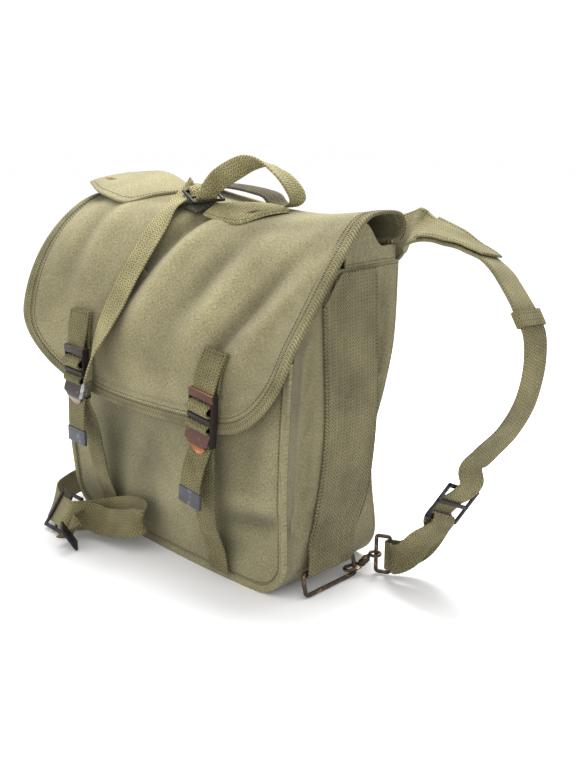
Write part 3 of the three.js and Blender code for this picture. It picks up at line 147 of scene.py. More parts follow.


# Cotton webbing: a herringbone of thick threads, its colour lightened on the ridges as painted highlight and darkened
# between them as painted shade.
# stripe is the width of one row of twill and pitch the distance between its ridges.
def webbingMaterial(name, pale, base, deep, stripe=3.1, pitch=2.1, slope=1.0, relief=0.7, contrast=0.8):
    material, tree, shader = newMaterial(name)
    uv = addNode(tree, "ShaderNodeUVMap", {"uv_map": "cloth"})
    place = addNode(tree, "ShaderNodeTexCoord")
    parts = addNode(tree, "ShaderNodeSeparateXYZ", links={0: uv})
    zig = addNode(tree, "ShaderNodeMath", {"operation": "PINGPONG", 1: stripe * mm}, {0: parts.outputs["X"]})
    run = addNode(tree, "ShaderNodeMath", {"operation": "MULTIPLY_ADD", 1: slope}, {0: zig, 2: parts.outputs["Y"]})
    wander = addNode(tree, "ShaderNodeTexNoise", {"Scale": 260, "Detail": 2}, {"Vector": place.outputs["Object"]})
    bent = addNode(tree, "ShaderNodeMath", {"operation": "MULTIPLY_ADD", 1: 0.5 * pitch * mm}, {0: wander, 2: run})
    turns = addNode(tree, "ShaderNodeMath", {"operation": "MULTIPLY", 1: 2 * math.pi / (pitch * mm)}, {0: bent})
    ridge = addNode(tree, "ShaderNodeMath", {"operation": "SINE"}, {0: turns})
    across = addNode(tree, "ShaderNodeMath", {"operation": "MULTIPLY", 1: 2 * math.pi / (stripe * mm)},
                     {0: parts.outputs["X"]})
    valley = addNode(tree, "ShaderNodeMath", {"operation": "COSINE"}, {0: across})
    height = addNode(tree, "ShaderNodeMath", {"operation": "MULTIPLY_ADD", 1: -0.35}, {0: valley, 2: ridge})
    clouds = addNode(tree, "ShaderNodeTexNoise", {"Scale": 26, "Detail": 4, "Roughness": 0.6},
                     {"Vector": place.outputs["Object"]})
    threads = addNode(tree, "ShaderNodeTexNoise", {"Scale": 900, "Detail": 1}, {"Vector": place.outputs["Object"]})
    faded = steps(tree, clouds, (0.34, linear(deep)), (0.5, linear(base)), (0.66, linear(pale)))
    # Painted shade in the twill's grooves and painted highlight on its ridges, on top of the bump.
    grooveShadeTone = addNode(tree, "ShaderNodeMapRange", {1: -1.2, 2: 1.2, 3: 0.52, 4: 1.2}, {0: height})
    toned = mixColours(tree, faded, grooveShadeTone, contrast, "MULTIPLY")
    threadTone = steps(tree, threads, (0.3, 0.85), (0.7, 1.12))
    toned = mixColours(tree, toned, threadTone, 0.6, "MULTIPLY")
    tree.links.new(toned, shader.inputs["Base Color"])
    bump = addNode(tree, "ShaderNodeBump", {"Strength": relief, "Distance": 0.0005}, {"Height": height})
    tree.links.new(bump.outputs[0], shader.inputs["Normal"])
    shader.inputs["Roughness"].default_value = 0.92
    shader.inputs["Specular IOR Level"].default_value = 0.2
    shader.inputs["Sheen Weight"].default_value = 0.1
    shader.inputs["Sheen Roughness"].default_value = 0.5
    return material


# Worn metal: a dark finish with brighter metal where it has rubbed; grain is the size of the marks in mm.
def wornMetal(name, finish, worn, metallic, roughness, grain=6, amount=0.55, wearAttribute=False):
    material, tree, shader = newMaterial(name)
    place = addNode(tree, "ShaderNodeTexCoord")
    marks = addNode(tree, "ShaderNodeTexNoise", {"Scale": 1000 / grain, "Detail": 6, "Roughness": 0.7},
                    {"Vector": place.outputs["Object"]})
    rubbed = steps(tree, marks, (amount, 0.0), (min(amount + 0.12, 1), 1.0))
    if wearAttribute:
        worked = addNode(tree, "ShaderNodeAttribute", {"attribute_name": "shadeAndWear"})
        added = addNode(tree, "ShaderNodeMath", {"operation": "ADD", "use_clamp": True},
                        {0: rubbed, 1: worked.outputs["Fac"]})
        rubbed = added.outputs[0]
    toned = mixColours(tree, linear(finish), linear(worn), rubbed)
    tree.links.new(toned, shader.inputs["Base Color"])
    rough = addNode(tree, "ShaderNodeMapRange", {3: roughness + 0.1, 4: roughness - 0.12}, {0: rubbed})
    tree.links.new(rough.outputs[0], shader.inputs["Roughness"])
    bump = addNode(tree, "ShaderNodeBump", {"Strength": 0.15, "Distance": 0.0002}, {"Height": marks})
    tree.links.new(bump.outputs[0], shader.inputs["Normal"])
    shader.inputs["Metallic"].default_value = metallic
    return material


bagCanvas = canvasMaterial("cotton duck, washed", "898364", "7f795c", "706a4f")
flapCanvas = canvasMaterial("cotton duck, faded by light", "938c6a", "878061", "766f53")
sideWebbing = webbingMaterial("side webbing, herringbone", "8c8560", "7f7856", "6f6949", 3.4, 2.9, 1.25, 0.9, 1.0)
strapWebbing = webbingMaterial("strap webbing, herringbone", "8c845a", "7c744d", "6a6340", 3.2, 2.7, 1.0, 1.0, 1.0)
topWebbing = webbingMaterial("strap webbing, bright and dry", "b5ac7d", "a59c6f", "91895f", 3.2, 2.7, 1.0, 1.0, 1.0)
shoulderWebbing = webbingMaterial("shoulder webbing, worn smooth", "8f865d", "7f7753", "6d6747", 2.6, 2.5, 0.9, 0.8, 0.85)
rootWebbing = webbingMaterial("padded webbing, fine twill", "8d8661", "7f7856", "6e6849", 2.4, 2.2, 0.9, 0.5, 0.6)
# Dark webbing: the handle's own soiled colour. On the top buckle's tab the same dark colour is painted shade.
handleWebbing = webbingMaterial("handle webbing, soiled", "5f583f", "504a35", "413b2a", 2.8, 2.8, 1.2, 0.9, 1.0)
tapeWebbing = webbingMaterial("edge tape, diagonal twill", "8f8863", "817a57", "706a4a", 5.0, 2.7, 0.8, 0.9, 0.9)
threadMaterial = webbingMaterial("cotton thread, waxed", "46412b", "3b3724", "312d1e", 1, 0.8, 1, 0.3, 0.4)
redThread = webbingMaterial("cotton thread, rust", "7a4030", "6b3529", "5a2c22", 1, 0.8, 1, 0.3, 0.4)
# Brass or steel fittings with a sprayed lacquer: brown to orange where the strap and fingers rub it.
brownLacquer = wornMetal("brown lacquer, worn", "4a2a1e", "b5703f", 0.35, 0.42, 7, 0.6, True)
darkLacquer = wornMetal("dark brown lacquer, worn", "2f2724", "7d6552", 0.4, 0.42, 6, 0.6, True)
# The closing frames' near-black lacquer is painted shade on their rails and bars. The rubbed marks on it are real
# wear.
shadedFrameLacquer = wornMetal("black-brown lacquer, painted shade on rails and bars", "221c19", "5c483b", 0.35, 0.5, 5, 0.62)
blackSteel = wornMetal("blackened steel, rubbed", "2e2b2a", "77706c", 0.75, 0.4, 8, 0.6)
bronzeWire = wornMetal("bronzed wire, rubbed", "4c4039", "a58965", 0.85, 0.34, 7, 0.52)
greyTip = wornMetal("zinc strap tip, dull", "4b4c52", "717378", 0.5, 0.45, 9, 0.55)
paleTip = wornMetal("zinc strap tip, bright", "7d7d80", "b4b4b6", 0.8, 0.35, 9, 0.45)
print("materials made")

# ---- tables and lines


def table(columns, *rows):
    names = columns.split()
    return [dict(zip(names, row)) for row in rows]


def mix(a, b, share):
    return a + (b - a) * share


def clamp(value, low, high):
    return min(max(value, low), high)


def shares(count, first=0.0, last=1.0):
    return np.linspace(first, last, count + 1)


def unit(vector):
    vector = np.asarray(vector, float)
    return vector / np.linalg.norm(vector)


# One column of a table at a key, on a smooth curve through its rows.
def readTable(rows, key, column, at):
    i = 0
    while i < len(rows) - 2 and at > rows[i + 1][key]:
        i += 1
    before, start = rows[max(i - 1, 0)], rows[i]
    end, after = rows[i + 1], rows[min(i + 2, len(rows) - 1)]
    span = end[key] - start[key]
    share = clamp((at - start[key]) / span, 0, 1)
    startSlope = (end[column] - before[column]) / (end[key] - before[key]) * span
    endSlope = (after[column] - start[column]) / (after[key] - start[key]) * span
    square, cube = share ** 2, share ** 3
    return ((2 * cube - 3 * square + 1) * start[column] + (cube - 2 * square + share) * startSlope
            + (3 * square - 2 * cube) * end[column] + (cube - square) * endSlope)


# A smooth line through points, at shares of its rows.
def smoothLine(points, at):
    p = np.asarray(points, float)
    p = np.vstack([2 * p[0] - p[1], p, 2 * p[-1] - p[-2]])
    place = np.clip(np.asarray(at, float), 0, 1) * (len(p) - 3)
    i = np.minimum(place.astype(int), len(p) - 4)
    w = (place - i)[:, None]
    a, b, c, d = p[i], p[i + 1], p[i + 2], p[i + 3]
    gaps = [np.sqrt(np.linalg.norm(v - u, axis=1))[:, None] for u, v in ((a, b), (b, c), (c, d))]
    middle = np.where(gaps[1] < 1e-4, 1, gaps[1])
    first = np.where(gaps[0] < 1e-4, middle, gaps[0])
    last = np.where(gaps[2] < 1e-4, middle, gaps[2])
    leave = ((b - a) / first - (c - a) / (first + middle) + (c - b) / middle) * middle
    arrive = ((c - b) / middle - (d - b) / (middle + last) + (d - c) / last) * middle
    return (b + leave * w + (-3 * b + 3 * c - 2 * leave - arrive) * w ** 2
            + (2 * b - 2 * c + leave + arrive) * w ** 3)


def lengthsAlong(points):
    return np.concatenate([[0], np.cumsum(np.linalg.norm(np.diff(points, axis=0), axis=1))])


def evenLine(points, count):
    fine = smoothLine(points, shares(200))
    gone = lengthsAlong(fine)
    at = np.interp(shares(count) * gone[-1], gone, shares(200))
    return smoothLine(points, at), gone[-1]


# ---- meshes


def finishPiece(item, material, slot, *nodes):
    if material:
        item.data.materials.clear()
        item.data.materials.append(material)
    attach(item, "root")
    if nodes:
        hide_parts(*nodes)
    return item


# A closed mesh from points in millimetres, turned so that its faces point out.
def meshPiece(name, points, faces, uv=None, sharp=40, shadeAndWear=None):
    points = np.asarray(points, float)
    volume = 0.0
    for face in faces:
        a = points[face[0]]
        for j in range(1, len(face) - 1):
            volume += np.dot(a, np.cross(points[face[j]], points[face[j + 1]]))
    if volume < 0:
        faces = [tuple(reversed(face)) for face in faces]
    mesh = bpy.data.meshes.new(name)
    mesh.from_pydata((points * mm).tolist(), [], faces)
    if uv is not None:
        layer = mesh.uv_layers.new(name="cloth")
        index = np.zeros(len(mesh.loops), np.int32)
        mesh.loops.foreach_get("vertex_index", index)
        layer.data.foreach_set("uv", (np.asarray(uv, float) * mm)[index].astype(np.float32).ravel())
    if shadeAndWear is not None:
        mesh.attributes.new("shadeAndWear", "FLOAT", "POINT").data.foreach_set("value", np.asarray(shadeAndWear, np.float32))
    mesh.polygons.foreach_set("use_smooth", [True] * len(mesh.polygons))
    mesh.set_sharp_from_angle(angle=math.radians(sharp))
    mesh.update()
    item = bpy.data.objects.new(name, mesh)
    bpy.context.scene.collection.objects.link(item)
    return item


# A closed skin over rings of points; both ends are closed, or the rings are joined in a loop.
def loftFaces(rings, sides, looped=False):
    faces = []
    for i in range(rings if looped else rings - 1):
        k = (i + 1) % rings
        for j in range(sides):
            n = (j + 1) % sides
            faces.append((i * sides + j, i * sides + n, k * sides + n, k * sides + j))
    if not looped:
        faces.append(tuple(reversed(range(sides))))
        faces.append(tuple(range((rings - 1) * sides, rings * sides)))
    return faces


# A cloth wall between two grids of points, each [row][column].
def wallPiece(name, outer, inner, uv=None, sharp=40, shadeAndWear=None):
    outer, inner = np.asarray(outer, float), np.asarray(inner, float)
    rows, columns = outer.shape[:2]
    if uv is None:
        along = lengthsAlong(outer[:, columns // 2])
        across = np.stack([lengthsAlong(row) for row in outer])
        uv = np.stack([across, np.repeat(along[:, None], columns, 1)], -1)
    uv = np.asarray(uv, float).reshape(-1, 2)
    at = np.arange(rows * columns).reshape(rows, columns)
    under = at + rows * columns
    faces = []
    for i in range(rows - 1):
        for j in range(columns - 1):
            faces.append((at[i, j], at[i, j + 1], at[i + 1, j + 1], at[i + 1, j]))
            faces.append((under[i, j], under[i + 1, j], under[i + 1, j + 1], under[i, j + 1]))
    rim = ([(0, j) for j in range(columns)] + [(i, columns - 1) for i in range(1, rows)]
           + [(rows - 1, j) for j in range(columns - 2, -1, -1)] + [(i, 0) for i in range(rows - 2, 0, -1)])
    for k, here in enumerate(rim):
        there = rim[(k + 1) % len(rim)]
        faces.append((at[there], at[here], under[here], under[there]))
    points = np.concatenate([outer.reshape(-1, 3), inner.reshape(-1, 3)])
    return meshPiece(name, points, [tuple(int(v) for v in face) for face in faces],
                     np.concatenate([uv, uv]), sharp, None if shadeAndWear is None else np.tile(np.ravel(shadeAndWear), 2))


# The section of a strap: flat faces with round edges, as pairs of across and lift.
def strapSection(half, wall, ribs=6):
    round_ = min(wall / 2, half / 3)
    flat = [(x, wall / 2) for x in np.linspace(half - round_, -half + round_, ribs + 1)]
    left = [(-half + round_ - round_ * math.sin(a), wall / 2 * math.cos(a)) for a in np.linspace(0, math.pi, 6)[1:-1]]
    section = flat + left
    return section + [(-x, -z) for x, z in section]


# Values of rows at shares of them, on a curve without corners.
def smoothTurns(values, at):
    padded = np.vstack([values[0], values, values[-1]])
    place = np.clip(at, 0, 1) * (len(values) - 1)
    i = np.minimum(place.astype(int), len(values) - 2)
    w = (place - i)[:, None]
    a, b, c, d = padded[i], padded[i + 1], padded[i + 2], padded[i + 3]
    leave, arrive = (c - a) / 2, (d - b) / 2
    return (b + leave * w + (3 * (c - b) - 2 * leave - arrive) * w ** 2 + (2 * (b - c) + leave + arrive) * w ** 3)


# Middles and the two directions of a strap's width and thickness, from rows of (middle, across, wide).
def strapFrames(rows, count, start=0.0, end=1.0):
    at = shares(count, start, end)
    middles = smoothLine([row[0] for row in rows], at)
    step = 0.0001
    ahead = smoothLine([row[0] for row in rows], np.minimum(at + step, 1))
    behind = smoothLine([row[0] for row in rows], np.maximum(at - step, 0))
    tangents = (ahead - behind) / np.linalg.norm(ahead - behind, axis=1)[:, None]
    turns = smoothTurns(np.array([[*row[1], row[2] if len(row) > 2 else 1] for row in rows], float), at)
    across, wide = turns[:, :3], turns[:, 3]
    normals = np.cross(tangents, across)
    normals /= np.linalg.norm(normals, axis=1)[:, None]
    sideways = np.cross(normals, tangents)
    return middles, sideways, normals, wide


def strapPiece(name, rows, width, wall, count, lift=0.0, start=0.0, end=1.0, ribs=6, cup=0.0):
    middles, sideways, normals, wide = strapFrames(rows, count, start, end)
    points, uv = [], []
    gone = lengthsAlong(middles)
    for i, middle in enumerate(middles):
        half = width * wide[i] / 2
        for x, z in strapSection(half, wall, ribs):
            curl = cup * (x / half) ** 2
            points.append(middle + sideways[i] * x + normals[i] * (lift + z + curl))
            uv.append((x, gone[i]))
    sides = len(points) // len(middles)
    return meshPiece(name, points, loftFaces(len(middles), sides), uv, 60)


# A round bar along points, closed on itself or with flat ends.
def tubeMesh(points, radius, sides=12, looped=False, normal=(0, 0, 1)):
    points = np.asarray(points, float)
    count = len(points)
    if looped:
        tangents = np.roll(points, -1, axis=0) - np.roll(points, 1, axis=0)
    else:
        tangents = np.gradient(points, axis=0)
    rings = []
    for i in range(count):
        along = unit(tangents[i])
        side = unit(np.cross(along, normal))
        up = np.cross(side, along)
        size = radius[i] if hasattr(radius, "__len__") else radius
        for a in np.arange(sides) * 2 * math.pi / sides:
            rings.append(points[i] + size * (math.cos(a) * side + math.sin(a) * up))
    return rings, loftFaces(count, sides, looped)


def joinedMesh(name, parts, sharp=40, shadeAndWear=None):
    points, faces = [], []
    for partPoints, partFaces in parts:
        first = len(points)
        points.extend(partPoints)
        faces.extend(tuple(v + first for v in face) for face in partFaces)
    return meshPiece(name, points, faces, None, sharp, shadeAndWear)


# A wire bent to a rounded rectangle, in the plane of two directions.
def wireLoop(centre, long, short, length, breadth, bend, radius):
    outline = []
    for corner, (a, b) in enumerate([(1, 1), (-1, 1), (-1, -1), (1, -1)]):
        for share in shares(6):
            angle = (corner + share) * math.pi / 2
            outline.append(np.asarray(centre)
                           + np.asarray(long) * (a * (length / 2 - radius - bend) + bend * math.cos(angle))
                           + np.asarray(short) * (b * (breadth / 2 - radius - bend) + bend * math.sin(angle)))
    return tubeMesh(outline, radius, 12, True, np.cross(long, short))


# A block with rounded edges, in its own frame: points and faces.
def blockMesh(size, centre, edge, segments=2):
    shape = bmesh.new()
    bmesh.ops.create_cube(shape, size=1, matrix=Matrix.Translation(centre) @ Matrix.Diagonal((*size, 1)))
    bmesh.ops.bevel(shape, geom=list(shape.edges), offset=min(edge, min(size) * 0.45), segments=segments,
                    profile=0.5, affect="EDGES", clamp_overlap=True)
    shape.verts.index_update()
    points = [np.array(v.co) for v in shape.verts]
    faces = [tuple(v.index for v in face.verts) for face in shape.faces]
    shape.free()
    return points, faces


def placed(parts, spot):
    return [([spot(p) for p in points], faces) for points, faces in parts]


# ---- stitches, made by Geometry Nodes along lines


def makeStitchTree():
    tree = bpy.data.node_groups.new("stitches", "GeometryNodeTree")
    face = tree.interface
    face.new_socket("Geometry", in_out="INPUT", socket_type="NodeSocketGeometry")
    for name, value in (("Spacing", 3.2 * mm), ("Length", 2.3 * mm), ("Radius", 0.32 * mm)):
        face.new_socket(name, in_out="INPUT", socket_type="NodeSocketFloat").default_value = value
    face.new_socket("Thread", in_out="INPUT", socket_type="NodeSocketMaterial")
    face.new_socket("Geometry", in_out="OUTPUT", socket_type="NodeSocketGeometry")
    given = addNode(tree, "NodeGroupInput")
    line = addNode(tree, "GeometryNodeMeshToCurve", links={"Mesh": given.outputs["Geometry"]})
    even = addNode(tree, "GeometryNodeResampleCurve", {"mode": "LENGTH"},
                   {"Curve": line, "Length": given.outputs["Spacing"]})
    tangent = addNode(tree, "GeometryNodeInputTangent")
    turned = addNode(tree, "FunctionNodeAlignRotationToVector", {"axis": "Z"}, {"Vector": tangent})
    half = addNode(tree, "ShaderNodeMath", {"operation": "MULTIPLY", 1: 0.5}, {0: given.outputs["Length"]})
    size = addNode(tree, "ShaderNodeCombineXYZ", links={
        "X": given.outputs["Radius"], "Y": given.outputs["Radius"], "Z": half})
    ball = addNode(tree, "GeometryNodeMeshUVSphere", {"Segments": 6, "Rings": 5, "Radius": 1.0})
    placedBalls = addNode(tree, "GeometryNodeInstanceOnPoints", links={
        "Points": even, "Instance": ball, "Rotation": turned, "Scale": size})
    real = addNode(tree, "GeometryNodeRealizeInstances", links={"Geometry": placedBalls})
    dressed = addNode(tree, "GeometryNodeSetMaterial", links={"Geometry": real, "Material": given.outputs["Thread"]})
    result = addNode(tree, "NodeGroupOutput")
    tree.links.new(dressed.outputs[0], result.inputs[0])
    return tree


stitchTree = makeStitchTree()
stitchInputs = {socket.name: socket.identifier for socket in stitchTree.interface.items_tree
                if socket.in_out == "INPUT"}


def stitchPiece(name, lines, spacing=3.2, length=2.3, radius=0.32, thread=None, slot="canvas"):
    points, edges = [], []
    for line in lines:
        first = len(points)
        points.extend((np.asarray(line) * mm).tolist())
        edges.extend((first + i, first + i + 1) for i in range(len(line) - 1))
    mesh = bpy.data.meshes.new(name + "Path")
    mesh.from_pydata(points, edges, [])
    path = bpy.data.objects.new(name + "Path", mesh)
    bpy.context.scene.collection.objects.link(path)
    modifier = path.modifiers.new("stitches", "NODES")
    modifier.node_group = stitchTree
    modifier[stitchInputs["Spacing"]] = spacing * mm
    modifier[stitchInputs["Length"]] = length * mm
    modifier[stitchInputs["Radius"]] = radius * mm
    modifier[stitchInputs["Thread"]] = thread or threadMaterial
    bpy.context.view_layer.update()
    made = bpy.data.meshes.new_from_object(path.evaluated_get(bpy.context.evaluated_depsgraph_get()))
    bpy.data.objects.remove(path)
    made.polygons.foreach_set("use_smooth", [True] * len(made.polygons))
    if "cloth" not in made.uv_layers:
        made.uv_layers.new(name="cloth")
    item = bpy.data.objects.new(name, made)
    bpy.context.scene.collection.objects.link(item)
    return finishPiece(item, None, slot)


# ---- the body of the bag

bag = {"width": 280, "mouthHeight": 258, "depth": 128, "corner": 30, "cloth": 1.6, "seamGap": 0.35,
       "weltHeight": 1.8, "weltWidth": 5, "swell": 2.2, "crease": 3.2}
halfWidth = bag["width"] / 2
mouthHeight, bagDepth, cornerRadius = bag["mouthHeight"], bag["depth"], bag["corner"]
clothWall = bag["cloth"]

# Outline by height: up is a share of mouthHeight, the rest are shares of the depth.
bodyRows = table(
    "up frontRight frontMiddle frontLeft backRight backMiddle backLeft",
    (0, -0.455, -0.52, -0.515, 0.37, 0.42, 0.4),
    (0.12, -0.445, -0.53, -0.54, 0.39, 0.45, 0.43),
    (0.3, -0.45, -0.545, -0.565, 0.34, 0.47, 0.42),
    (0.45, -0.44, -0.545, -0.56, 0.345, 0.48, 0.43),
    (0.6, -0.42, -0.53, -0.545, 0.45, 0.5, 0.46),
    (0.75, -0.395, -0.5, -0.52, 0.525, 0.53, 0.52),
    (1, -0.34, -0.42, -0.46, 0.545, 0.54, 0.54),
)

# Soft dents of the cloth: where, how far they reach along and across, their lean and their depth in mm.
frontDents = table(
    "x z long wide lean deep",
    (112, 60, 34, 8, 0.18, -4.5),
    (94, 74, 40, 9, 0.15, 2.4),
    (78, 30, 36, 11, 0.3, -2.6),
    (20, 60, 60, 16, 0.9, 1.8),
    (-10, 100, 60, 14, 1.1, -2.0),
    (-60, 92, 50, 14, 1.2, -1.8),
    (108, 130, 60, 11, 1.5, -2.4),
    (60, 120, 50, 12, 1.2, -1.8),
)
sideDents = table(
    "y z long wide lean deep",
    (-44, 62, 14, 9, 0.25, -5.0),
    (-38, 165, 90, 8, 1.55, -4.5),
    (-42, 90, 50, 7, 1.4, -3.0),
    (47, 165, 70, 7, 1.5, -6.0),
    (42, 90, 45, 7, 1.75, -4.0),
)


def dented(rows, first, x, z):
    total = 0.0
    for row in rows:
        along = math.cos(row["lean"]) * (x - row[first]) + math.sin(row["lean"]) * (z - row["z"])
        over = -math.sin(row["lean"]) * (x - row[first]) + math.cos(row["lean"]) * (z - row["z"])
        total += row["deep"] * math.exp(-(along / row["long"]) ** 2 - (over / row["wide"]) ** 2)
    return total


def sideDepth(x, z, side):
    up = z / mouthHeight
    middle = readTable(bodyRows, "up", side + "Middle", up)
    edge = readTable(bodyRows, "up", side + ("Right" if x > 0 else "Left"), up)
    return mix(middle, edge, min((x / halfWidth) ** 2, 1)) * bagDepth


def frontDepth(x, z):
    return sideDepth(x, z, "front")


def backDepth(x, z):
    return sideDepth(x, z, "back")


def halfWidthAt(z):
    below = max(cornerRadius - z, 0)
    return halfWidth - cornerRadius + math.sqrt(max(cornerRadius ** 2 - below ** 2, 0))


def edgeDistance(x, z):
    inX = halfWidth - cornerRadius
    if abs(x) > inX and z < cornerRadius:
        return cornerRadius - math.hypot(abs(x) - inX, cornerRadius - z)
    return min(halfWidth - abs(x), z)


def smoothStep(value):
    value = clamp(value, 0, 1)
    return value * value * (3 - 2 * value)


def welt(x, z):
    return bag["weltHeight"] * smoothStep((bag["weltWidth"] - edgeDistance(x, z)) / 2)


# ---- the flap's surface

flap = {"wall": 2.0, "cornerRadius": 62, "rollRadius": 11.5, "bindingWidth": 10, "bindingWall": 3,
        "clearance": 1.1, "rollOut": 0.49, "rollStart": -100}
# Profiles: across is a share of half the width, out of the depth, up of mouthHeight.
flapRows = table(
    "across rollUp crestOut crestUp shoulderOut shoulderUp slopeOut slopeUp bellyOut bellyUp hemOut hemUp",
    (-1.05, 1.126, 0.12, 1.167, -0.31, 1.13, -0.665, 0.985, -0.85, 0.775, -0.81, 0.55),
    (-0.715, 1.13, 0.12, 1.175, -0.3, 1.135, -0.61, 0.977, -0.74, 0.76, -0.71, 0.53),
    (-0.32, 1.105, 0.12, 1.15, -0.26, 1.093, -0.53, 0.92, -0.67, 0.73, -0.655, 0.497),
    (0.14, 1.076, 0.14, 1.124, -0.155, 1.06, -0.42, 0.9, -0.6, 0.72, -0.595, 0.489),
    (0.57, 1.073, 0.17, 1.12, -0.08, 1.04, -0.33, 0.876, -0.525, 0.72, -0.58, 0.504),
    (0.89, 1.096, 0.22, 1.136, 0.015, 1.047, -0.25, 0.88, -0.47, 0.72, -0.57, 0.52),
    (1.02, 1.105, 0.25, 1.145, 0.06, 1.058, -0.21, 0.895, -0.43, 0.752, -0.547, 0.53),
)
flapLeft, flapRight = flapRows[0]["across"] * halfWidth, flapRows[-1]["across"] * halfWidth
rollOut, rollRadius = flap["rollOut"] * bagDepth, flap["rollRadius"]
profileSteps = 60
profiles = {}

# Soft folds of the hanging flap: x in mm, along as a share of the profile, sizes and depth in mm.
flapDents = table(
    "x along long wide lean deep",
    (-16, 0.45, 40, 8, 1.33, -7.5),
    (-34, 0.61, 38, 8, 1.36, -6.5),
    (2, 0.49, 42, 9, 1.33, 3.6),
    (-14, 0.66, 40, 8, 1.35, 3.0),
    (34, 0.56, 46, 9, 1.25, -4.6),
    (54, 0.6, 50, 9, 1.25, 3.2),
    (88, 0.6, 50, 8, 1.2, -4.6),
    (104, 0.66, 50, 8, 1.2, 2.6),
    (70, 0.78, 40, 7, 1.3, -3.2),
    (-100, 0.6, 50, 12, 1.45, -3.6),
    (-84, 0.5, 50, 9, 1.5, 2.8),
    (-112, 0.35, 40, 12, 1.0, -3.0),
    (20, 0.3, 30, 12, 0.2, -2.4),
    (80, 0.34, 44, 10, 0.3, -2.4),
    (-60, 0.33, 40, 9, 0.9, -2.4),
)


def flapProfile(x):
    def read(column):
        return readTable(flapRows, "across", column, x / halfWidth)
    rollUp = read("rollUp") * mouthHeight
    points = []
    for angle in np.radians(np.linspace(flap["rollStart"], 90, 5)):
        points.append((x, rollOut + rollRadius * math.cos(angle), rollUp + rollRadius * math.sin(angle)))
    for name in ("crest", "shoulder", "slope", "belly", "hem"):
        points.append((x, read(name + "Out") * bagDepth, read(name + "Up") * mouthHeight))
    return evenLine(points, profileSteps)


def profileAt(x):
    key = round(x, 4)
    if key not in profiles:
        profiles[key] = flapProfile(x)
    return profiles[key]


def flapMiddle(x, share):
    points = profileAt(x)[0]
    place = clamp(share, 0, 1) * profileSteps
    i = min(int(place), profileSteps - 1)
    return points[i] + (points[i + 1] - points[i]) * (place - i)


def flapNormal(x, share):
    along = flapMiddle(x, min(share + 0.01, 1)) - flapMiddle(x, max(share - 0.01, 0))
    across = flapMiddle(x + 2, share) - flapMiddle(x - 2, share)
    return -unit(np.cross(across, along))


def flapFold(x, share):
    length = profileAt(x)[1]
    total = 0.0
    for row in flapDents:
        over, down = x - row["x"], (share - row["along"]) * length
        along = math.cos(row["lean"]) * over - math.sin(row["lean"]) * down
        aside = math.sin(row["lean"]) * over + math.cos(row["lean"]) * down
        total += row["deep"] * math.exp(-(along / row["long"]) ** 2 - (aside / row["wide"]) ** 2)
    return total


def flapFace(x, share, lift, fold=0.0):
    return flapMiddle(x, share) + flapNormal(x, share) * (lift + fold * flapFold(x, share))


def flapHeight(x, y):
    points = profileAt(x)[0]
    for i in range(1, len(points)):
        if points[i - 1][2] > points[i][2] and points[i][1] < rollOut and points[i][1] <= y:
            a, b = points[i - 1], points[i]
            return mix(a[2], b[2], (y - a[1]) / (b[1] - a[1]))
    return points[-1][2]


def flapDepth(x, z):
    points = profileAt(x)[0]
    for i in range(len(points) - 1, 0, -1):
        if points[i - 1][2] >= z >= points[i][2]:
            a, b = points[i - 1], points[i]
            return mix(a[1], b[1], (z - a[2]) / (b[2] - a[2]))
    return points[-1][1]


def flapEnd(x, inset):
    middle, reach = (flapLeft + flapRight) / 2, (flapRight - flapLeft) / 2 - inset
    radius = flap["cornerRadius"] - inset
    past = max(abs(x - middle) - (reach - radius), 0)
    rise = radius - math.sqrt(max(radius ** 2 - past ** 2, 0))
    length = profileAt(x)[1]
    return (length - inset - rise) / length


# The highest place up to a limit where cloth still clears the flap's inner face.
def rimHeight(x, depthAt, limit=mouthHeight):
    inside = clamp(x, flapLeft, flapRight)
    gap = flap["bindingWall"] / 2 + flap["clearance"]
    z = limit
    while z > limit / 2:
        y = depthAt(z)
        if z < flapHeight(inside, y) - gap and y - bag["weltHeight"] > flapDepth(inside, z) + gap:
            break
        z -= 1.5
    return z


panelRows = list(shares(12, -1, 0)) + list(shares(60))[1:]
panelColumns = ([-1, -0.993, -0.985, -0.975, -0.965, -0.955, -0.94] + list(shares(60, -0.92, 0.92))
                + [0.94, 0.955, 0.965, 0.975, 0.985, 0.993, 1])


def panelGrid(topOf, depthOf):
    tops = {across: topOf(across * halfWidth) for across in panelColumns}
    grid, uv = [], []
    for along in panelRows:
        low = cornerRadius * (1 - math.cos((1 + along) * math.pi / 2))
        line, marks = [], []
        for across in panelColumns:
            z = low if along < 0 else mix(cornerRadius, tops[across], along)
            x = across * halfWidthAt(z)
            line.append((x, depthOf(x, z), z))
            marks.append((x, z))
        grid.append(line)
        uv.append(marks)
    return grid, uv


def fromEdge(x, z):
    return smoothStep(edgeDistance(x, z) / 14)


def frontTop(x):
    return rimHeight(x, lambda z: frontDepth(x, z))


def frontFold(x, z):
    return dented(frontDents, "x", x, z) * fromEdge(x, z) * 0.8


frontOuter, frontUv = panelGrid(frontTop, lambda x, z: frontDepth(x, z) - welt(x, z) - frontFold(x, z))
frontInner, _ = panelGrid(frontTop, lambda x, z: frontDepth(x, z) + clothWall - min(frontFold(x, z), 0.6))


# Painted shading for the front panel: painted shade in the dents' valleys and in a line just inside the welt, and
# painted highlight on the dents' ridges and on the welt itself.
def frontPaintedShading(x, z):
    edge = edgeDistance(x, z)
    return clamp(frontFold(x, z) / 5, -0.8, 0.6) - 0.5 * math.exp(-((edge - 6.6) / 1.3) ** 2) + 0.15 * (edge < 5)


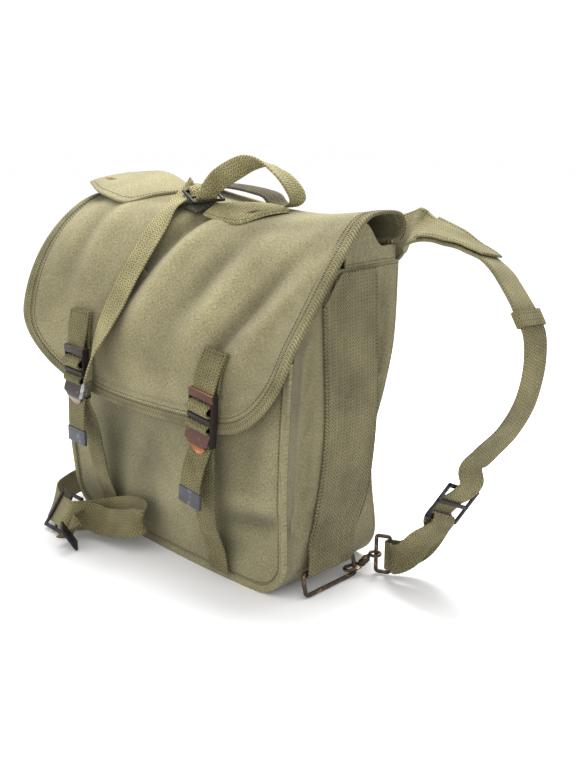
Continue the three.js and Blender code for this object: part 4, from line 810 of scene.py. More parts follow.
finishPiece(wallPiece("frontPanelCloth", frontOuter, frontInner, frontUv,
                      shadeAndWear=[[frontPaintedShading(*mark) for mark in marks] for marks in frontUv]), bagCanvas, "canvas", "front_panel")
backOuter, backUv = panelGrid(lambda x: mouthHeight, backDepth)
backInner, _ = panelGrid(lambda x: mouthHeight, lambda x, z: backDepth(x, z) - clothWall)
finishPiece(wallPiece("backPanelCloth", backOuter, backInner, backUv), bagCanvas, "canvas", "back_panel")

gussetStops = ([("side", s, 1) for s in shares(40)[::-1]] + [("arc", s, 1) for s in shares(12)[1:]]
               + [("base", s, 1) for s in (0.6, 0.3, 0, -0.3, -0.6)]
               + [("arc", s, -1) for s in shares(12)[:0:-1]] + [("side", s, -1) for s in shares(40)])


def sideBulge(z, depthShare):
    up = clamp((z - cornerRadius) / (mouthHeight - cornerRadius), 0, 1)
    return bag["swell"] * math.sin(math.pi * up) * math.sin(math.pi * depthShare)


def gussetPoint(stop, depthShare, inset):
    kind, share, hand = stop
    radius, x, z = cornerRadius - inset, 0.0, inset
    if kind == "base":
        x = share * (halfWidth - cornerRadius)
    elif kind == "arc":
        x = hand * (halfWidth - cornerRadius + radius * math.cos(share * math.pi / 2))
        z = cornerRadius - radius * math.sin(share * math.pi / 2)

    def depthAt(height):
        front = frontDepth(hand * (halfWidth - inset) if kind == "side" else x, height) + clothWall + bag["seamGap"]
        back = backDepth(hand * (halfWidth - inset) if kind == "side" else x, height) - clothWall - bag["seamGap"]
        return mix(front, back, depthShare)

    if kind == "side":
        z = mix(cornerRadius, rimHeight(hand * (halfWidth - inset), depthAt), share)
        x = hand * (halfWidth - inset + sideBulge(z, depthShare))
        edge = smoothStep(depthShare * 6) * smoothStep((1 - depthShare) * 6)
        x += hand * min(dented(sideDents, "y", depthAt(z), z) * edge, 0.25)
    return (x, depthAt(z), z)


gussetOuter = [[gussetPoint(stop, s, 0) for s in shares(24)] for stop in gussetStops]
gussetInner = [[gussetPoint(stop, s, clothWall) for s in shares(24)] for stop in gussetStops]
# Painted shading for the gusset's sides: painted shade in the dents' valleys and along the strip behind the front
# seam, and painted highlight on the dents' ridges.
gussetPaintedShading = []
for line in gussetOuter:
    gussetPaintedShading.append([clamp(dented(sideDents, "y", y, z) / 7, -0.75, 0.4) - 0.3 * smoothStep(1 - share * 9)
                       if abs(x) > halfWidth - 2 else 0 for share, (x, y, z) in zip(shares(24), line)])
finishPiece(wallPiece("gussetCloth", gussetOuter, gussetInner, shadeAndWear=gussetPaintedShading), bagCanvas, "canvas", "gusset")

collarBend = 7


def collarLine(across):
    back = backDepth(halfWidth, mouthHeight)
    straight = back - collarBend - 0.05 * bagDepth
    arc = math.pi / 2 * collarBend
    half = straight + arc + halfWidth - collarBend
    hand = -1 if across < 0 else 1
    gone = abs(across) * half
    if gone < halfWidth - collarBend:
        return hand * gone, back, 0, 1
    if gone < halfWidth - collarBend + arc:
        angle = (gone - halfWidth + collarBend) / collarBend
        outX, outY = hand * math.sin(angle), math.cos(angle)
        return hand * (halfWidth - collarBend) + collarBend * outX, back - collarBend + collarBend * outY, outX, outY
    return hand * halfWidth, back - collarBend - (gone - halfWidth + collarBend - arc), hand, 0


def collarPoint(across, along, inset):
    lineX, lineY, outX, outY = collarLine(across)
    x, y = lineX - outX * inset, lineY - outY * inset
    rollBottom = readTable(flapRows, "across", "rollUp", x / halfWidth) * mouthHeight - rollRadius
    ceiling = flapHeight(x, lineY) - 0.8 if lineY < rollOut - rollRadius else rollBottom
    tucked = smoothStep((rollOut - rollRadius - 2 - lineY) / 24)
    top = mix(min(ceiling, rollBottom) - flap["bindingWall"] / 2 - 0.4, ceiling - 1.2, tucked)
    foot = mouthHeight + bag["seamGap"]
    return x, y, mix(foot, max(top, foot + 1), along)


collarColumns = list(shares(30, -1, -0.62)) + list(shares(20, -0.6, 0.6)) + list(shares(30, 0.62, 1))
collarOuter = [[collarPoint(a, s, 0) for a in collarColumns] for s in shares(6)]
collarInner = [[collarPoint(a, s, clothWall) for a in collarColumns] for s in shares(6)]
finishPiece(wallPiece("mouthCollarCloth", collarOuter, collarInner), bagCanvas, "canvas", "mouth_collar")
print("body made")

# ---- flap and its tape


def flapGrid(lift, columns=84, rows=110):
    inset = flap["bindingWidth"] + bag["seamGap"] - 2.5
    grid, marks = [], []
    for along in shares(rows):
        line, shadeAndWear = [], []
        for across in shares(columns):
            x = mix(flapLeft + inset, flapRight - inset, (1 - math.cos(across * math.pi)) / 2)
            end = flapEnd(x, inset)
            edge = smoothStep((1 - along) * 5) * smoothStep(across * 9) * smoothStep((1 - across) * 9)
            line.append(flapFace(x, along * end, lift, edge))
            # The cloth's colour values are painted shading: painted shade in the folds' valleys and in a line just
            # inside the tape, and painted highlight on the folds' ridges.
            inner = min(along * end * profileAt(x)[1], (1 - along) * profileAt(x)[1], x - flapLeft, flapRight - x)
            shadeAndWear.append(clamp(edge * flapFold(x, along * end) / 7, -0.7, 0.5)
                        - 0.35 * math.exp(-((inner - flap["bindingWidth"] - 0.5) / 2) ** 2))
        grid.append(line)
        marks.append(shadeAndWear)
    return grid, marks


flapOuter, flapPaintedShading = flapGrid(flap["wall"] / 2)
flapInner, _ = flapGrid(-flap["wall"] / 2)
finishPiece(wallPiece("flapCloth", flapOuter, flapInner, shadeAndWear=flapPaintedShading), flapCanvas, "canvas", "flap")


def bindingStop(stop, inset):
    kind, share, hand = stop
    reach, middle = (flapRight - flapLeft) / 2 - inset, (flapRight + flapLeft) / 2
    radius = flap["cornerRadius"] - inset
    if kind == "side":
        x = middle + hand * reach
        return x, share * flapEnd(x, inset)
    if kind == "corner":
        x = middle + hand * (reach - radius + radius * math.cos(share * math.pi / 2))
    else:
        x = middle + share * (reach - radius)
    return x, flapEnd(x, inset)


edgeStops = [("side", s, 1) for s in shares(70)] + [("corner", s, 1) for s in shares(20)[1:]]
hemStops = [("hem", s, 1) for s in shares(30, 1, -1)[1:-1]]
bindingStops = edgeStops + hemStops + [(kind, s, -1) for kind, s, _ in edgeStops[::-1]]


# The tape folds round the cloth's edge: its section is thick at the fold and thins towards its seam.
def flapBinding():
    wall = flap["bindingWall"] / 2
    section = [(1, 0.86), (0.8, 0.95), (0.55, 1), (0.3, 1), (0.12, 0.95), (0.04, 0.72), (0.0, 0.3)]
    section = section + [(t, -z) for t, z in section[::-1]]
    points, uv, along, before = [], [], 0.0, None
    for stop in bindingStops:
        outerX, outerShare = bindingStop(stop, 0)
        innerX, innerShare = bindingStop(stop, flap["bindingWidth"])
        here = flapFace(outerX, outerShare, 0)
        along += 0 if before is None else np.linalg.norm(here - before)
        before = here
        for t, lift in section:
            points.append(flapFace(mix(outerX, innerX, t), mix(outerShare, innerShare, t), lift * wall))
            uv.append((t * flap["bindingWidth"], along))
    return meshPiece("flapBindingTape", points, loftFaces(len(bindingStops), len(section)), uv, 70)


finishPiece(flapBinding(), tapeWebbing, "webbing", "flap_binding")
seamLine = []
for stop in bindingStops:
    x, share = bindingStop(stop, flap["bindingWidth"] + 3)
    seamLine.append(flapFace(x, share, flap["wall"] / 2 + 0.1))
tapeLine = []
for stop in bindingStops:
    x, share = bindingStop(stop, flap["bindingWidth"] - 1.2)
    tapeLine.append(flapFace(x, share, flap["bindingWall"] / 2 + 0.02))
stitchPiece("flapTapeStitches", [tapeLine], 2.8, 1.9, 0.3, slot="webbing")
stitchPiece("flapSeamStitches", [seamLine], 2.8, 2.1, 0.32)
print("flap made")

# ---- side webs

web = {"width": 62, "wall": 1.8, "wireRadius": 1.8, "wireHeight": 19, "wireLean": 4.2, "layerGap": 0.4}
webRows = table("up out wide", (0, -0.1, 0.82), (0.09, -0.1, 0.84), (0.25, 0.03, 1), (0.5, 0.1, 1),
                (0.8, 0.09, 1), (1, 0.085, 1))
wireX = halfWidth + web["wall"] + web["wireRadius"] + 2 * web["layerGap"]
wireHeight = web["wireHeight"]


def webLine():
    turn = web["wireRadius"] + web["layerGap"] + web["wall"] / 2 + 0.2
    line = []
    for share in shares(60):
        z = mix(mouthHeight - 2, 2 * wireHeight + 8, share)
        line.append((halfWidth + sideBulge(z, 0.5) + 2 * web["layerGap"] + web["wall"] / 2, z))
    lowX, lowZ = line[-1]
    for share in shares(8)[1:]:
        line.append((mix(lowX, wireX + turn, smoothStep(share)), mix(lowZ, wireHeight + 4, share)))
    for angle in -shares(12) * math.pi:
        line.append((wireX + turn * math.cos(angle), wireHeight + turn * math.sin(angle)))
    return line


def sideWeb(name, hand):
    line = webLine()
    points, uv = [], []
    gone = lengthsAlong(np.array(line))
    edges = {-1: [], 1: []}
    for i, (x, z) in enumerate(line):
        before, after = line[max(i - 1, 0)], line[min(i + 1, len(line) - 1)]
        run = math.hypot(after[0] - before[0], after[1] - before[1])
        normalX, normalZ = -(after[1] - before[1]) / run, (after[0] - before[0]) / run
        reach = readTable(webRows, "up", "wide", z / mouthHeight) * web["width"] / 2
        middleY = readTable(webRows, "up", "out", z / mouthHeight) * bagDepth
        for across, lift in strapSection(reach, web["wall"], 14):
            y = middleY + across
            pinch = min(dented(sideDents, "y", y, z), 0) * 0.15
            top = rimHeight(halfWidth, lambda height: y) - 2
            points.append((hand * (x + normalX * lift + pinch), y, min(z + normalZ * lift, top)))
            uv.append((across, gone[i]))
        if 44 < z < mouthHeight - 8:
            for side in (-1, 1):
                y = middleY + side * (reach - 2.2)
                if z < rimHeight(halfWidth, lambda height: y) - 4:
                    edges[side].append((hand * (x + web["wall"] / 2 + 0.1), y, z))
    sides = len(points) // len(line)
    item = meshPiece(name, points, loftFaces(len(line), sides), uv, 60)
    return item, [edge for edge in edges.values() if len(edge) > 2]


def wireOnWeb(name, hand):
    bend = 3
    low = readTable(webRows, "up", "wide", wireHeight / mouthHeight) * web["width"]
    length = low + 2 * web["wireRadius"] + 2 * bend + 1
    drop = wireHeight - web["wireRadius"] - 0.4
    lean = unit((hand * web["wireLean"], 0, -drop))
    reach = math.hypot(web["wireLean"], drop)
    middleY = readTable(webRows, "up", "out", wireHeight / mouthHeight) * bagDepth
    centre = np.array((hand * wireX, middleY, wireHeight)) + lean * reach / 2
    parts = [wireLoop(centre, (0, 1, 0), lean, length, reach + 2 * web["wireRadius"], bend, web["wireRadius"])]
    return joinedMesh(name, parts)


for side, hand in (("right", 1), ("left", -1)):
    title = side.capitalize()
    webItem, webEdges = sideWeb("sideWeb" + title, hand)
    finishPiece(webItem, sideWebbing, "webbing", "side_web_" + side)
    stitchPiece("sideWebStitches" + title, webEdges, 3.0, 2.0, 0.3, slot="webbing")
    finishPiece(wireOnWeb("wireLoop" + title, hand), bronzeWire, "dark_bronze", "wire_loop_" + side)
print("side webs made")

# ---- closing straps and buckles

closing = {"width": 25, "wall": 1.8, "gap": 0.4, "standOff": 11, "tall": 45, "plateWall": 1.6, "railWall": 1.3,
           "railDepth": 7, "topPlate": 7, "bottomPlate": 10.5, "barTall": 4, "rod": 2, "tab": 34, "bow": 9,
           "tipWall": 3, "tipLength": 14}
closingRows = table("name across up looseEnd lean looseOut",
                    ("right", 0.51, 0.554, 0.287, 0.1, -7), ("left", -0.545, 0.6, 0.256, 0.02, -1))
buckleWide = closing["width"] + 2 * closing["railWall"] + 0.8
rodDepth = closing["railDepth"] - closing["plateWall"] / 2 - closing["rod"] / 2
rodHeight = closing["tall"] / 2 - closing["topPlate"] / 2


def leanTurn(lean, slant):
    turn = Matrix.Rotation(lean, 3, "Y") @ Matrix.Rotation(slant, 3, "Z")
    return np.array(turn)


# The lower plate bows out and ends in a round lip, where the finish is rubbed away.
def lipMesh():
    half, wide = closing["tall"] / 2, buckleWide
    rows, columns, wall = 16, 20, 1.2
    points, shadeAndWear = [], []
    for lift in (-wall / 2, wall / 2):
        for i in range(rows + 1):
            down = i / rows
            height = -half + closing["bottomPlate"] + 1 - down * (closing["bottomPlate"] + 8)
            past = max((-half + 3 - height) / 10, 0)
            reach = wide / 2 if past == 0 else (wide / 2 - 3) * math.sqrt(max(1 - past ** 1.6, 0.03))
            bow = -2.4 * math.sin(math.pi * min(down * 1.15, 1)) - 0.4
            for j in range(columns + 1):
                across = j / columns * 2 - 1
                points.append((across * reach, bow + lift - 0.4 * (1 - across ** 2), height))
                shadeAndWear.append(smoothStep((down - 0.58) * 5) * 0.95)
    size = (rows + 1) * (columns + 1)
    at = np.arange(size).reshape(rows + 1, columns + 1)
    faces = []
    for i in range(rows):
        for j in range(columns):
            faces.append((at[i, j], at[i, j + 1], at[i + 1, j + 1], at[i + 1, j]))
            faces.append(tuple(size + v for v in (at[i, j], at[i + 1, j], at[i + 1, j + 1], at[i, j + 1])))
    rim = list(at[0]) + list(at[1:, -1]) + list(at[-1, :-1][::-1]) + list(at[1:-1, 0][::-1])
    for k, here in enumerate(rim):
        there = rim[(k + 1) % len(rim)]
        faces.append((there, here, here + size, there + size))
    return points, [tuple(int(v) for v in face) for face in faces], shadeAndWear


# The frame of rails and bars; the front plates are a piece of their own, as the frame's near-black lacquer is painted
# shade on the rails and bars.
def closingFrame(name, spot):
    rail, deep = closing["railWall"], closing["railDepth"]
    railX, plate = (buckleWide - rail) / 2, closing["plateWall"]
    return joinedMesh(name, placed([
        blockMesh((rail, deep, closing["tall"]), (railX, (deep - plate) / 2, 0), 0.6),
        blockMesh((rail, deep, closing["tall"]), (-railX, (deep - plate) / 2, 0), 0.6),
        blockMesh((buckleWide, closing["rod"], closing["barTall"]), (0, -closing["rod"] / 2 - 0.2, 0.5), 0.9, 3),
        blockMesh((buckleWide, closing["rod"], closing["rod"]), (0, 1.2, 8.5), 0.9, 3),
        blockMesh((buckleWide, closing["rod"], closing["rod"]), (0, rodDepth, rodHeight), 0.9, 3),
    ], spot), 35)


def closingPlates(name, spot):
    half = closing["tall"] / 2
    top = blockMesh((buckleWide + 0.6, closing["plateWall"] + 0.4, closing["topPlate"]),
                    (0, 0, half - closing["topPlate"] / 2), 0.8, 3)
    shadeAndWear = [0.5 if abs(point[2] - half) < 0.4 else 0.0 for point in top[0]]
    lipPoints, lipFaces, lipWear = lipMesh()
    return joinedMesh(name, placed([top, (lipPoints, lipFaces)], spot), 35, shadeAndWear + lipWear)


def clipMesh(wide, wall, long, edge=0.8):
    return [blockMesh((wide, wall, long), (0, 0, 0), edge, 3),
            blockMesh((wide - 7, wall + 0.35, 1.1), (0, 0, long * 0.22), 0.5),
            blockMesh((wide - 7, wall + 0.35, 1.1), (0, 0, -long * 0.22), 0.5)]


def closingSet(row):
    name, lean = row["name"], row["lean"]
    title = name.capitalize()
    x, middleHeight = row["across"] * halfWidth, row["up"] * mouthHeight
    looseEnd, looseOut = row["looseEnd"] * mouthHeight, row["looseOut"]
    half, reach = closing["tall"] / 2, closing["width"] / 2
    wall, gap = closing["wall"], closing["gap"]
    slantZ = middleHeight + rodHeight + closing["tab"]
    slant = 0.5 * math.atan((flapDepth(x + reach, slantZ) - flapDepth(x - reach, slantZ)) / closing["width"])

    def clearOfFlap(z, angle):
        middleX = x + math.tan(lean) * (z - middleHeight)
        return min(flapDepth(middleX + side, z) - side * math.tan(angle) for side in (-reach - 2, 0, reach + 2))

    y = clearOfFlap(middleHeight + rodHeight, 0) - closing["standOff"] + 1
    origin = np.array((x, y, middleHeight))

    def at(depth, height, slanted=0.0, leaned=lean):
        turn = leanTurn(leaned, slanted)
        return origin + turn @ np.array((0, depth, height)), turn @ np.array((1.0, 0, 0))

    wrap = closing["rod"] / 2 + gap + wall / 2 + 0.4
    tabTop = rodHeight + closing["tab"]

    def onFlap(height):
        return clearOfFlap(middleHeight + height, slant) - y - flap["wall"] / 2 - 2 * gap - wall / 2

    front = wall + gap
    between = mix(onFlap(tabTop - 18), rodDepth + wrap, 0.5)
    tabRows = [
        at(onFlap(tabTop), tabTop, slant), at(onFlap(tabTop - 8), tabTop - 8, slant),
        at(between, tabTop - 18, slant), at(rodDepth + wrap, rodHeight + 2),
        at(rodDepth + wrap * 0.7, rodHeight - wrap * 0.7), at(rodDepth, rodHeight - wrap),
        at(rodDepth - wrap * 0.7, rodHeight - wrap * 0.7), at(rodDepth - wrap, rodHeight + 2),
        at(between - front - 1.2, tabTop - 18, slant), at(onFlap(tabTop - 8) - front - 0.4, tabTop - 8, slant),
        at(onFlap(tabTop) - front, tabTop, slant),
    ]
    foot, rear, bow = 6, 5.4, closing["bow"]
    onPanel = frontDepth(x, foot) - bag["weltHeight"] - 2 * gap - wall / 2 - y
    strapRows = [at(onPanel, foot - middleHeight, 0, 0),
                 at(onPanel - 0.4 * bow, 0.108 * mouthHeight - middleHeight, 0, 0),
                 at(onPanel - 1.3 * bow, 0.209 * mouthHeight - middleHeight, 0, 0),
                 at(mix(onPanel - 1.3 * bow, rear, 0.6), -half - 22, 0, lean / 2)]
    for depth, height in ((rear, -half - 4), (rear, -10), (rear, 4), (4.6, 10.5), (1.4, 13), (-2.8, 11.4),
                          (-4.6, 8), (-2.6, 4.9), (0.6, 4.1), (2.2, 1.6), (2.2, -0.6), (0.6, -3.2),
                          (-2.4, -4.0), (-4.0, -6.6), (-2.0, -9.4), (1.6, -10.4), (2.3, -13), (2.3, -17),
                          (2.2, -half), (0.4, -half - 6), (mix(0, looseOut, 0.6), -half - 18),
                          (looseOut, closing["tipLength"] + 6.35 - looseEnd),
                          (looseOut, closing["tipLength"] + 0.35 - looseEnd)):
        strapRows.append(at(depth, height))
    tab = strapPiece("closingTab" + title, tabRows, closing["width"], wall, 120, ribs=10)
    finishPiece(tab, strapWebbing, "webbing", "closing_tab_" + name)
    strap = strapPiece("closingStrap" + title, strapRows, closing["width"] - 0.4, wall, 320, ribs=10)
    finishPiece(strap, strapWebbing, "webbing", "closing_strap_" + name)
    turn = leanTurn(lean, 0)
    finishPiece(closingFrame("closingFrame" + title, lambda p: origin + turn @ np.asarray(p)), shadedFrameLacquer,
                "worn_brown_paint", "closing_buckle_" + name)
    finishPiece(closingPlates("closingPlates" + title, lambda p: origin + turn @ np.asarray(p)),
                brownLacquer if name == "right" else darkLacquer, "worn_brown_paint")
    tipMiddle = np.array((0, looseOut, closing["tipLength"] / 2 - looseEnd))
    tip = joinedMesh("closingTip" + title, placed(
        clipMesh(closing["width"] + 1.6, closing["tipWall"], closing["tipLength"]),
        lambda p: origin + turn @ (np.asarray(p) + tipMiddle)), 35)
    finishPiece(tip, greyTip, "strap_tip", "closing_tip_" + name)
    lines = []
    for side in (-1, 1):
        line = []
        for height in shares(8, tabTop - 1.5, tabTop - 13):
            middle, across = at(onFlap(height) - front - wall / 2 - 0.35, height, slant)
            line.append(middle + across * side * (reach - 2.5))
        lines.append(line)
    for height in (tabTop - 1.6, tabTop - 12):
        middle, across = at(onFlap(height) - front - wall / 2 - 0.35, height, slant)
        lines.append([middle + across * u for u in shares(6, -reach + 2.5, reach - 2.5)])
    stitchPiece("closingStitches" + title, lines, 2.6, 1.8, 0.3, slot="webbing")


for closingRow in closingRows:
    closingSet(closingRow)
print("closing straps made")

# ---- top pads, handle, buckle and the long strap

padRows = {
    "left": table("at frontX frontY frontLift backX backY backLift",
                  (0, -1.06, -0.235, 13, -1.07, 0.11, 13), (0.25, -0.86, -0.295, 7, -0.92, 0.17, 13),
                  (0.55, -0.61, -0.265, 2.3, -0.75, 0.2, 12), (0.8, -0.53, -0.05, 2.6, -0.61, 0.22, 7),
                  (1, -0.47, 0.14, 2.4, -0.485, 0.19, 3)),
    "right": table("at frontX frontY frontLift backX backY backLift",
                   (0, -0.06, -0.08, 3, -0.085, 0.05, 4), (0.25, 0.085, -0.065, 2.3, 0.04, 0.17, 5),
                   (0.55, 0.22, -0.025, 2.2, 0.185, 0.27, 5), (0.8, 0.315, 0.125, 2.5, 0.285, 0.28, 4),
                   (1, 0.385, 0.235, 2.4, 0.37, 0.265, 2.8)),
}
padWall = 1.8


def padPoint(name, across, along, lift):
    def read(column):
        return readTable(padRows[name], "at", column, across)
    x = mix(read("frontX"), read("backX"), along) * halfWidth
    y = mix(read("frontY"), read("backY"), along) * bagDepth
    over = mix(read("frontLift"), read("backLift"), along)
    return (x, y, flapHeight(clamp(x, flapLeft, flapRight), y) + over + lift)


for name, material, slot in (("left", flapCanvas, "canvas"), ("right", topWebbing, "webbing")):
    grids = [[[padPoint(name, a, s, lift) for a in shares(40)] for s in shares(20)]
             for lift in (padWall / 2, -padWall / 2)]
    finishPiece(wallPiece("topPad" + name.capitalize(), *grids), material, slot, "top_pad_" + name)
    around = [padPoint(name, a, 0.07, padWall / 2 + 0.1) for a in shares(40, 0.03, 0.97)]
    tacks = []
    for a in ((0.05, 0.09, 0.13) if name == "left" else (0.5, 0.54, 0.58)):
        tacks.append([padPoint(name, a + u * 0.05, 0.32 + u * 0.1, padWall / 2 + 0.1) for u in shares(5)])
    stitchPiece("topPadStitches" + name.capitalize(), [around], 2.8, 1.9, 0.3, slot=slot)
    stitchPiece("topPadTack" + name.capitalize(), tacks, 0.9, 1.3, 0.35, redThread, slot)

carryRows = table("across lift", (-0.55, 2.6), (-0.47, 2.9), (-0.36, 8), (-0.18, 11), (0, 11.5), (0.1, 10),
                  (0.155, 4.2), (0.2, 2.6))
handleY = 0.387 * bagDepth
handleRows = []
for row in carryRows:
    x = row["across"] * halfWidth
    fall = (flapHeight(x, handleY + 10) - flapHeight(x, handleY - 10)) / 20
    handleRows.append((np.array((x, handleY, flapHeight(x, handleY) + row["lift"])), np.array((0, 1, fall))))
finishPiece(strapPiece("carryHandle", handleRows, 23, 2.4, 90, ribs=10, cup=-1.2), handleWebbing,
            "dark_webbing", "carry_handle")


def fittingFrame(x, y, z, bars, onward):
    across = unit(bars)
    out = unit(np.cross(across, onward))
    along = np.cross(out, across)
    origin = np.array((x * halfWidth, y * bagDepth, z * mouthHeight))

    def at(step, lift, side=0.0):
        return origin + along * step + out * lift + across * side

    return {"at": at, "row": lambda step, lift: (at(step, lift), across), "across": across, "along": along,
            "out": out, "spot": lambda p: at(p[1], p[2], p[0])}


def barFrame(width, height, bars, side, wall, barWide, edge):
    parts = [blockMesh((side, height, wall), (hand * (width - side) / 2, 0, 0), edge, 3) for hand in (1, -1)]
    return parts + [blockMesh((width, barWide, wall), (0, y, 0), edge, 3) for y in bars]


def lay(columns, *rows):
    found = []
    for x, y, z, turn, *wide in rows:
        middle = np.array((x * halfWidth, y * bagDepth, z * mouthHeight))
        found.append((middle, np.array(turn, float), wide[0] if wide else 1))
    return found


topWidth = 20
topFrame = fittingFrame(-0.17, 0.025, 1.171, (0.28, 0.96, 0.05), (-0.912, 0.25, 0.326))
topEnds = (26 - 2.4) / 2
finishPiece(joinedMesh("topBuckle", placed(barFrame(30, 26, (-topEnds, -1, topEnds), 2.4, 2.4, 2.4, 0.9),
                                           topFrame["spot"])), blackSteel, "blackened_steel", "top_buckle")


def onFlapTop(across, depth, lift, turn):
    x, y = across * halfWidth, depth * bagDepth
    return np.array((x, y, flapHeight(x, y) + lift)), np.array(turn, float)


def onFlapFront(across, along, lift):
    x = across * halfWidth
    wide = flapMiddle(x + topWidth / 2, along) - flapMiddle(x - topWidth / 2, along)
    return flapFace(x, along, lift), unit(wide)


topRows = [
    onFlapTop(0.225, 0.37, 2.6, (0, 1, 0)), onFlapTop(0.27, 0.37, 3.2, (0, 1, 0)),
    *lay("x y z turn", (0.325, 0.37, 1.158, (-0.05, 1, 0)), (0.34, 0.355, 1.178, (-0.1, 0.98, 0)),
         (0.328, 0.3, 1.219, (-0.15, 0.98, 0)), (0.285, 0.245, 1.254, (-0.1, 0.98, -0.2)),
         (0.204, 0.215, 1.281, (0, 0.95, -0.3)), (0.095, 0.175, 1.281, (0.1, 0.8, -0.6)),
         (-0.008, 0.13, 1.254, (0.15, 0.6, -0.78)), (-0.09, 0.075, 1.22, (0.1, 0.65, -0.75))),
    (topFrame["at"](-7.5, 6), np.array((-0.1, 0.86, -0.47))),
    topFrame["row"](-6.8, 0.5), topFrame["row"](-4.8, -2.4), topFrame["row"](-1, -3.3), topFrame["row"](3, -2.2),
    topFrame["row"](7, 1.6), topFrame["row"](11.8, 3.4),
    (topFrame["at"](15.5, 1.6), np.array((0.6, 0.78, 0))),
    onFlapTop(-0.27, -0.16, 6.6, (0.94, -0.33, -0.05)),
    onFlapFront(-0.25, 0.47, 3.4), onFlapFront(-0.255, 0.545, 2.7), onFlapFront(-0.28, 0.63, 2.9),
    onFlapFront(-0.307, 0.71, 3.2),
]
# The loose end stands off the flap and turns its edge to the front.
for across, along, lift, turn in ((-0.335, 0.78, 6.5, 0.25), (-0.355, 0.85, 15, 0.75), (-0.375, 0.92, 21, 1.05)):
    middle, wide = onFlapFront(across, along, lift)
    out = flapNormal(across * halfWidth, along)
    topRows.append((middle, wide * math.cos(turn) + out * math.sin(turn)))
finishPiece(strapPiece("topStrap", topRows, topWidth, 1.8, 520, ribs=8), topWebbing, "webbing", "top_strap")


# A folded metal tip on a strap's end, along the strap's last direction.
def strapTip(name, end, travel, across, wide, long, material, node):
    travel = unit(travel)
    out = unit(np.cross(across, travel))
    side = np.cross(travel, out)
    middle = end + travel * (long / 2 + 0.4)
    parts = clipMesh(wide, 3, long - 0.2)
    item = joinedMesh(name, placed(parts, lambda p: middle + side * p[0] + out * p[1] + travel * p[2]), 35)
    finishPiece(item, material, "strap_tip", node)


strapTip("topStrapTip", topRows[-1][0], topRows[-1][0] - topRows[-2][0], topRows[-1][1], topWidth + 1.4, 13.6,
         paleTip, "top_strap_tip")
# The buckle's tab is made in the dark webbing as painted shade, for the shade that falls on it on the flap's top.
tabRows = []
for across in (-0.33, -0.25, -0.17, -0.105):
    x = across * halfWidth
    tabRows.append(onFlapTop(across, 0, 2.6, (0, 1, (flapHeight(x, 8) - flapHeight(x, -8)) / 16)))
finishPiece(strapPiece("topBuckleTab", tabRows, 24, 1.8, 30, ribs=8), handleWebbing, "dark_webbing",
            "top_buckle_tab")
print("top made")

# ---- shoulder straps

shoulder = {"rootWidth": 46, "rootWall": 3.0, "width": 25, "wall": 1.8, "keeperLong": 12, "sliderWide": 38,
            "sliderLong": 34, "bar": 3.6, "ringHeight": 36, "ringDeep": 15, "ringBend": 2.4, "wire": 1.7}
rightRoot = lay("x y z turn wide",
                (0.74, 0.58, 0.985, (-0.45, 0.1, 0.88), 0.8), (0.88, 0.62, 1.045, (-0.45, 0.3, 0.84), 0.85),
                (1.015, 0.625, 1.085, (-0.47, 0.6, 0.6), 0.85), (1.1, 0.572, 1.095, (-0.52, 0.72, 0.45), 0.8),
                (1.2, 0.55, 1.098, (-0.57, 0.74, 0.33), 0.66), (1.3, 0.535, 1.094, (-0.62, 0.72, 0.29), 0.58),
                (1.41, 0.52, 1.082, (-0.66, 0.7, 0.27), 0.57), (1.524, 0.508, 1.064, (-0.58, 0.8, 0.1), 0.57),
                (1.645, 0.492, 1.044, (-0.3, 0.94, -0.05), 0.57), (1.74, 0.474, 1.015, (0, 0.99, -0.14), 0.56),
                (1.8, 0.462, 0.985, (0.03, 1, -0.12), 0.55), (1.865, 0.455, 0.945, (0.05, 1, -0.09), 0.54))
rightKeeper = fittingFrame(1.925, 0.453, 0.9, (0.12, 0.99, -0.06), (0.58, -0.08, -0.8))
rightRoot.append((rightKeeper["at"](-1.2, 0), rightKeeper["across"], 0.54))
leftRoot = lay("x y z turn wide",
               (-0.8, 0.562, 0.95, (0.6, 0, 0.8), 1), (-0.91, 0.6, 1.01, (0.55, 0.25, 0.8), 1),
               (-1.02, 0.65, 1.045, (0.5, 0.6, 0.6), 0.95), (-1.12, 0.65, 1.03, (0.3, 0.95, 0.1), 0.8),
               (-1.16, 0.62, 0.97, (0, 1, -0.05), 0.66), (-1.17, 0.6, 0.92, (0, 1, -0.08), 0.56))
leftKeeper = fittingFrame(-1.172, 0.585, 0.87, (0, 0.98, -0.1), (0, -0.1, -0.98))
leftRoot.append((leftKeeper["at"](-1.2, 0), leftKeeper["across"], 0.54))

rootWidth, rootWall = shoulder["rootWidth"], shoulder["rootWall"]
finishPiece(strapPiece("shoulderRootRight", rightRoot, rootWidth, rootWall, 260, ribs=12), rootWebbing,
            "webbing", "shoulder_root_right")
spans = len(rightRoot) - 1
overlayLift = rootWall / 2 + 1.2 + shoulder["wall"] / 2
finishPiece(strapPiece("rootOverlayRight", rightRoot, rootWidth, shoulder["wall"], 100, overlayLift, 4 / spans,
                       8 / spans, ribs=12), rootWebbing, "webbing", "root_overlay_right")
finishPiece(strapPiece("shoulderRootLeft", leftRoot, rootWidth, rootWall, 140, ribs=12), rootWebbing,
            "webbing", "shoulder_root_left")


def edgeLines(rows, count, width, lift, start, end, inset):
    middles, sideways, normals, wide = strapFrames(rows, count, start, end)
    lines = []
    for side in (-1, 1):
        lines.append([middles[i] + sideways[i] * side * (width * wide[i] / 2 - inset) + normals[i] * lift
                      for i in range(len(middles))])
    return lines


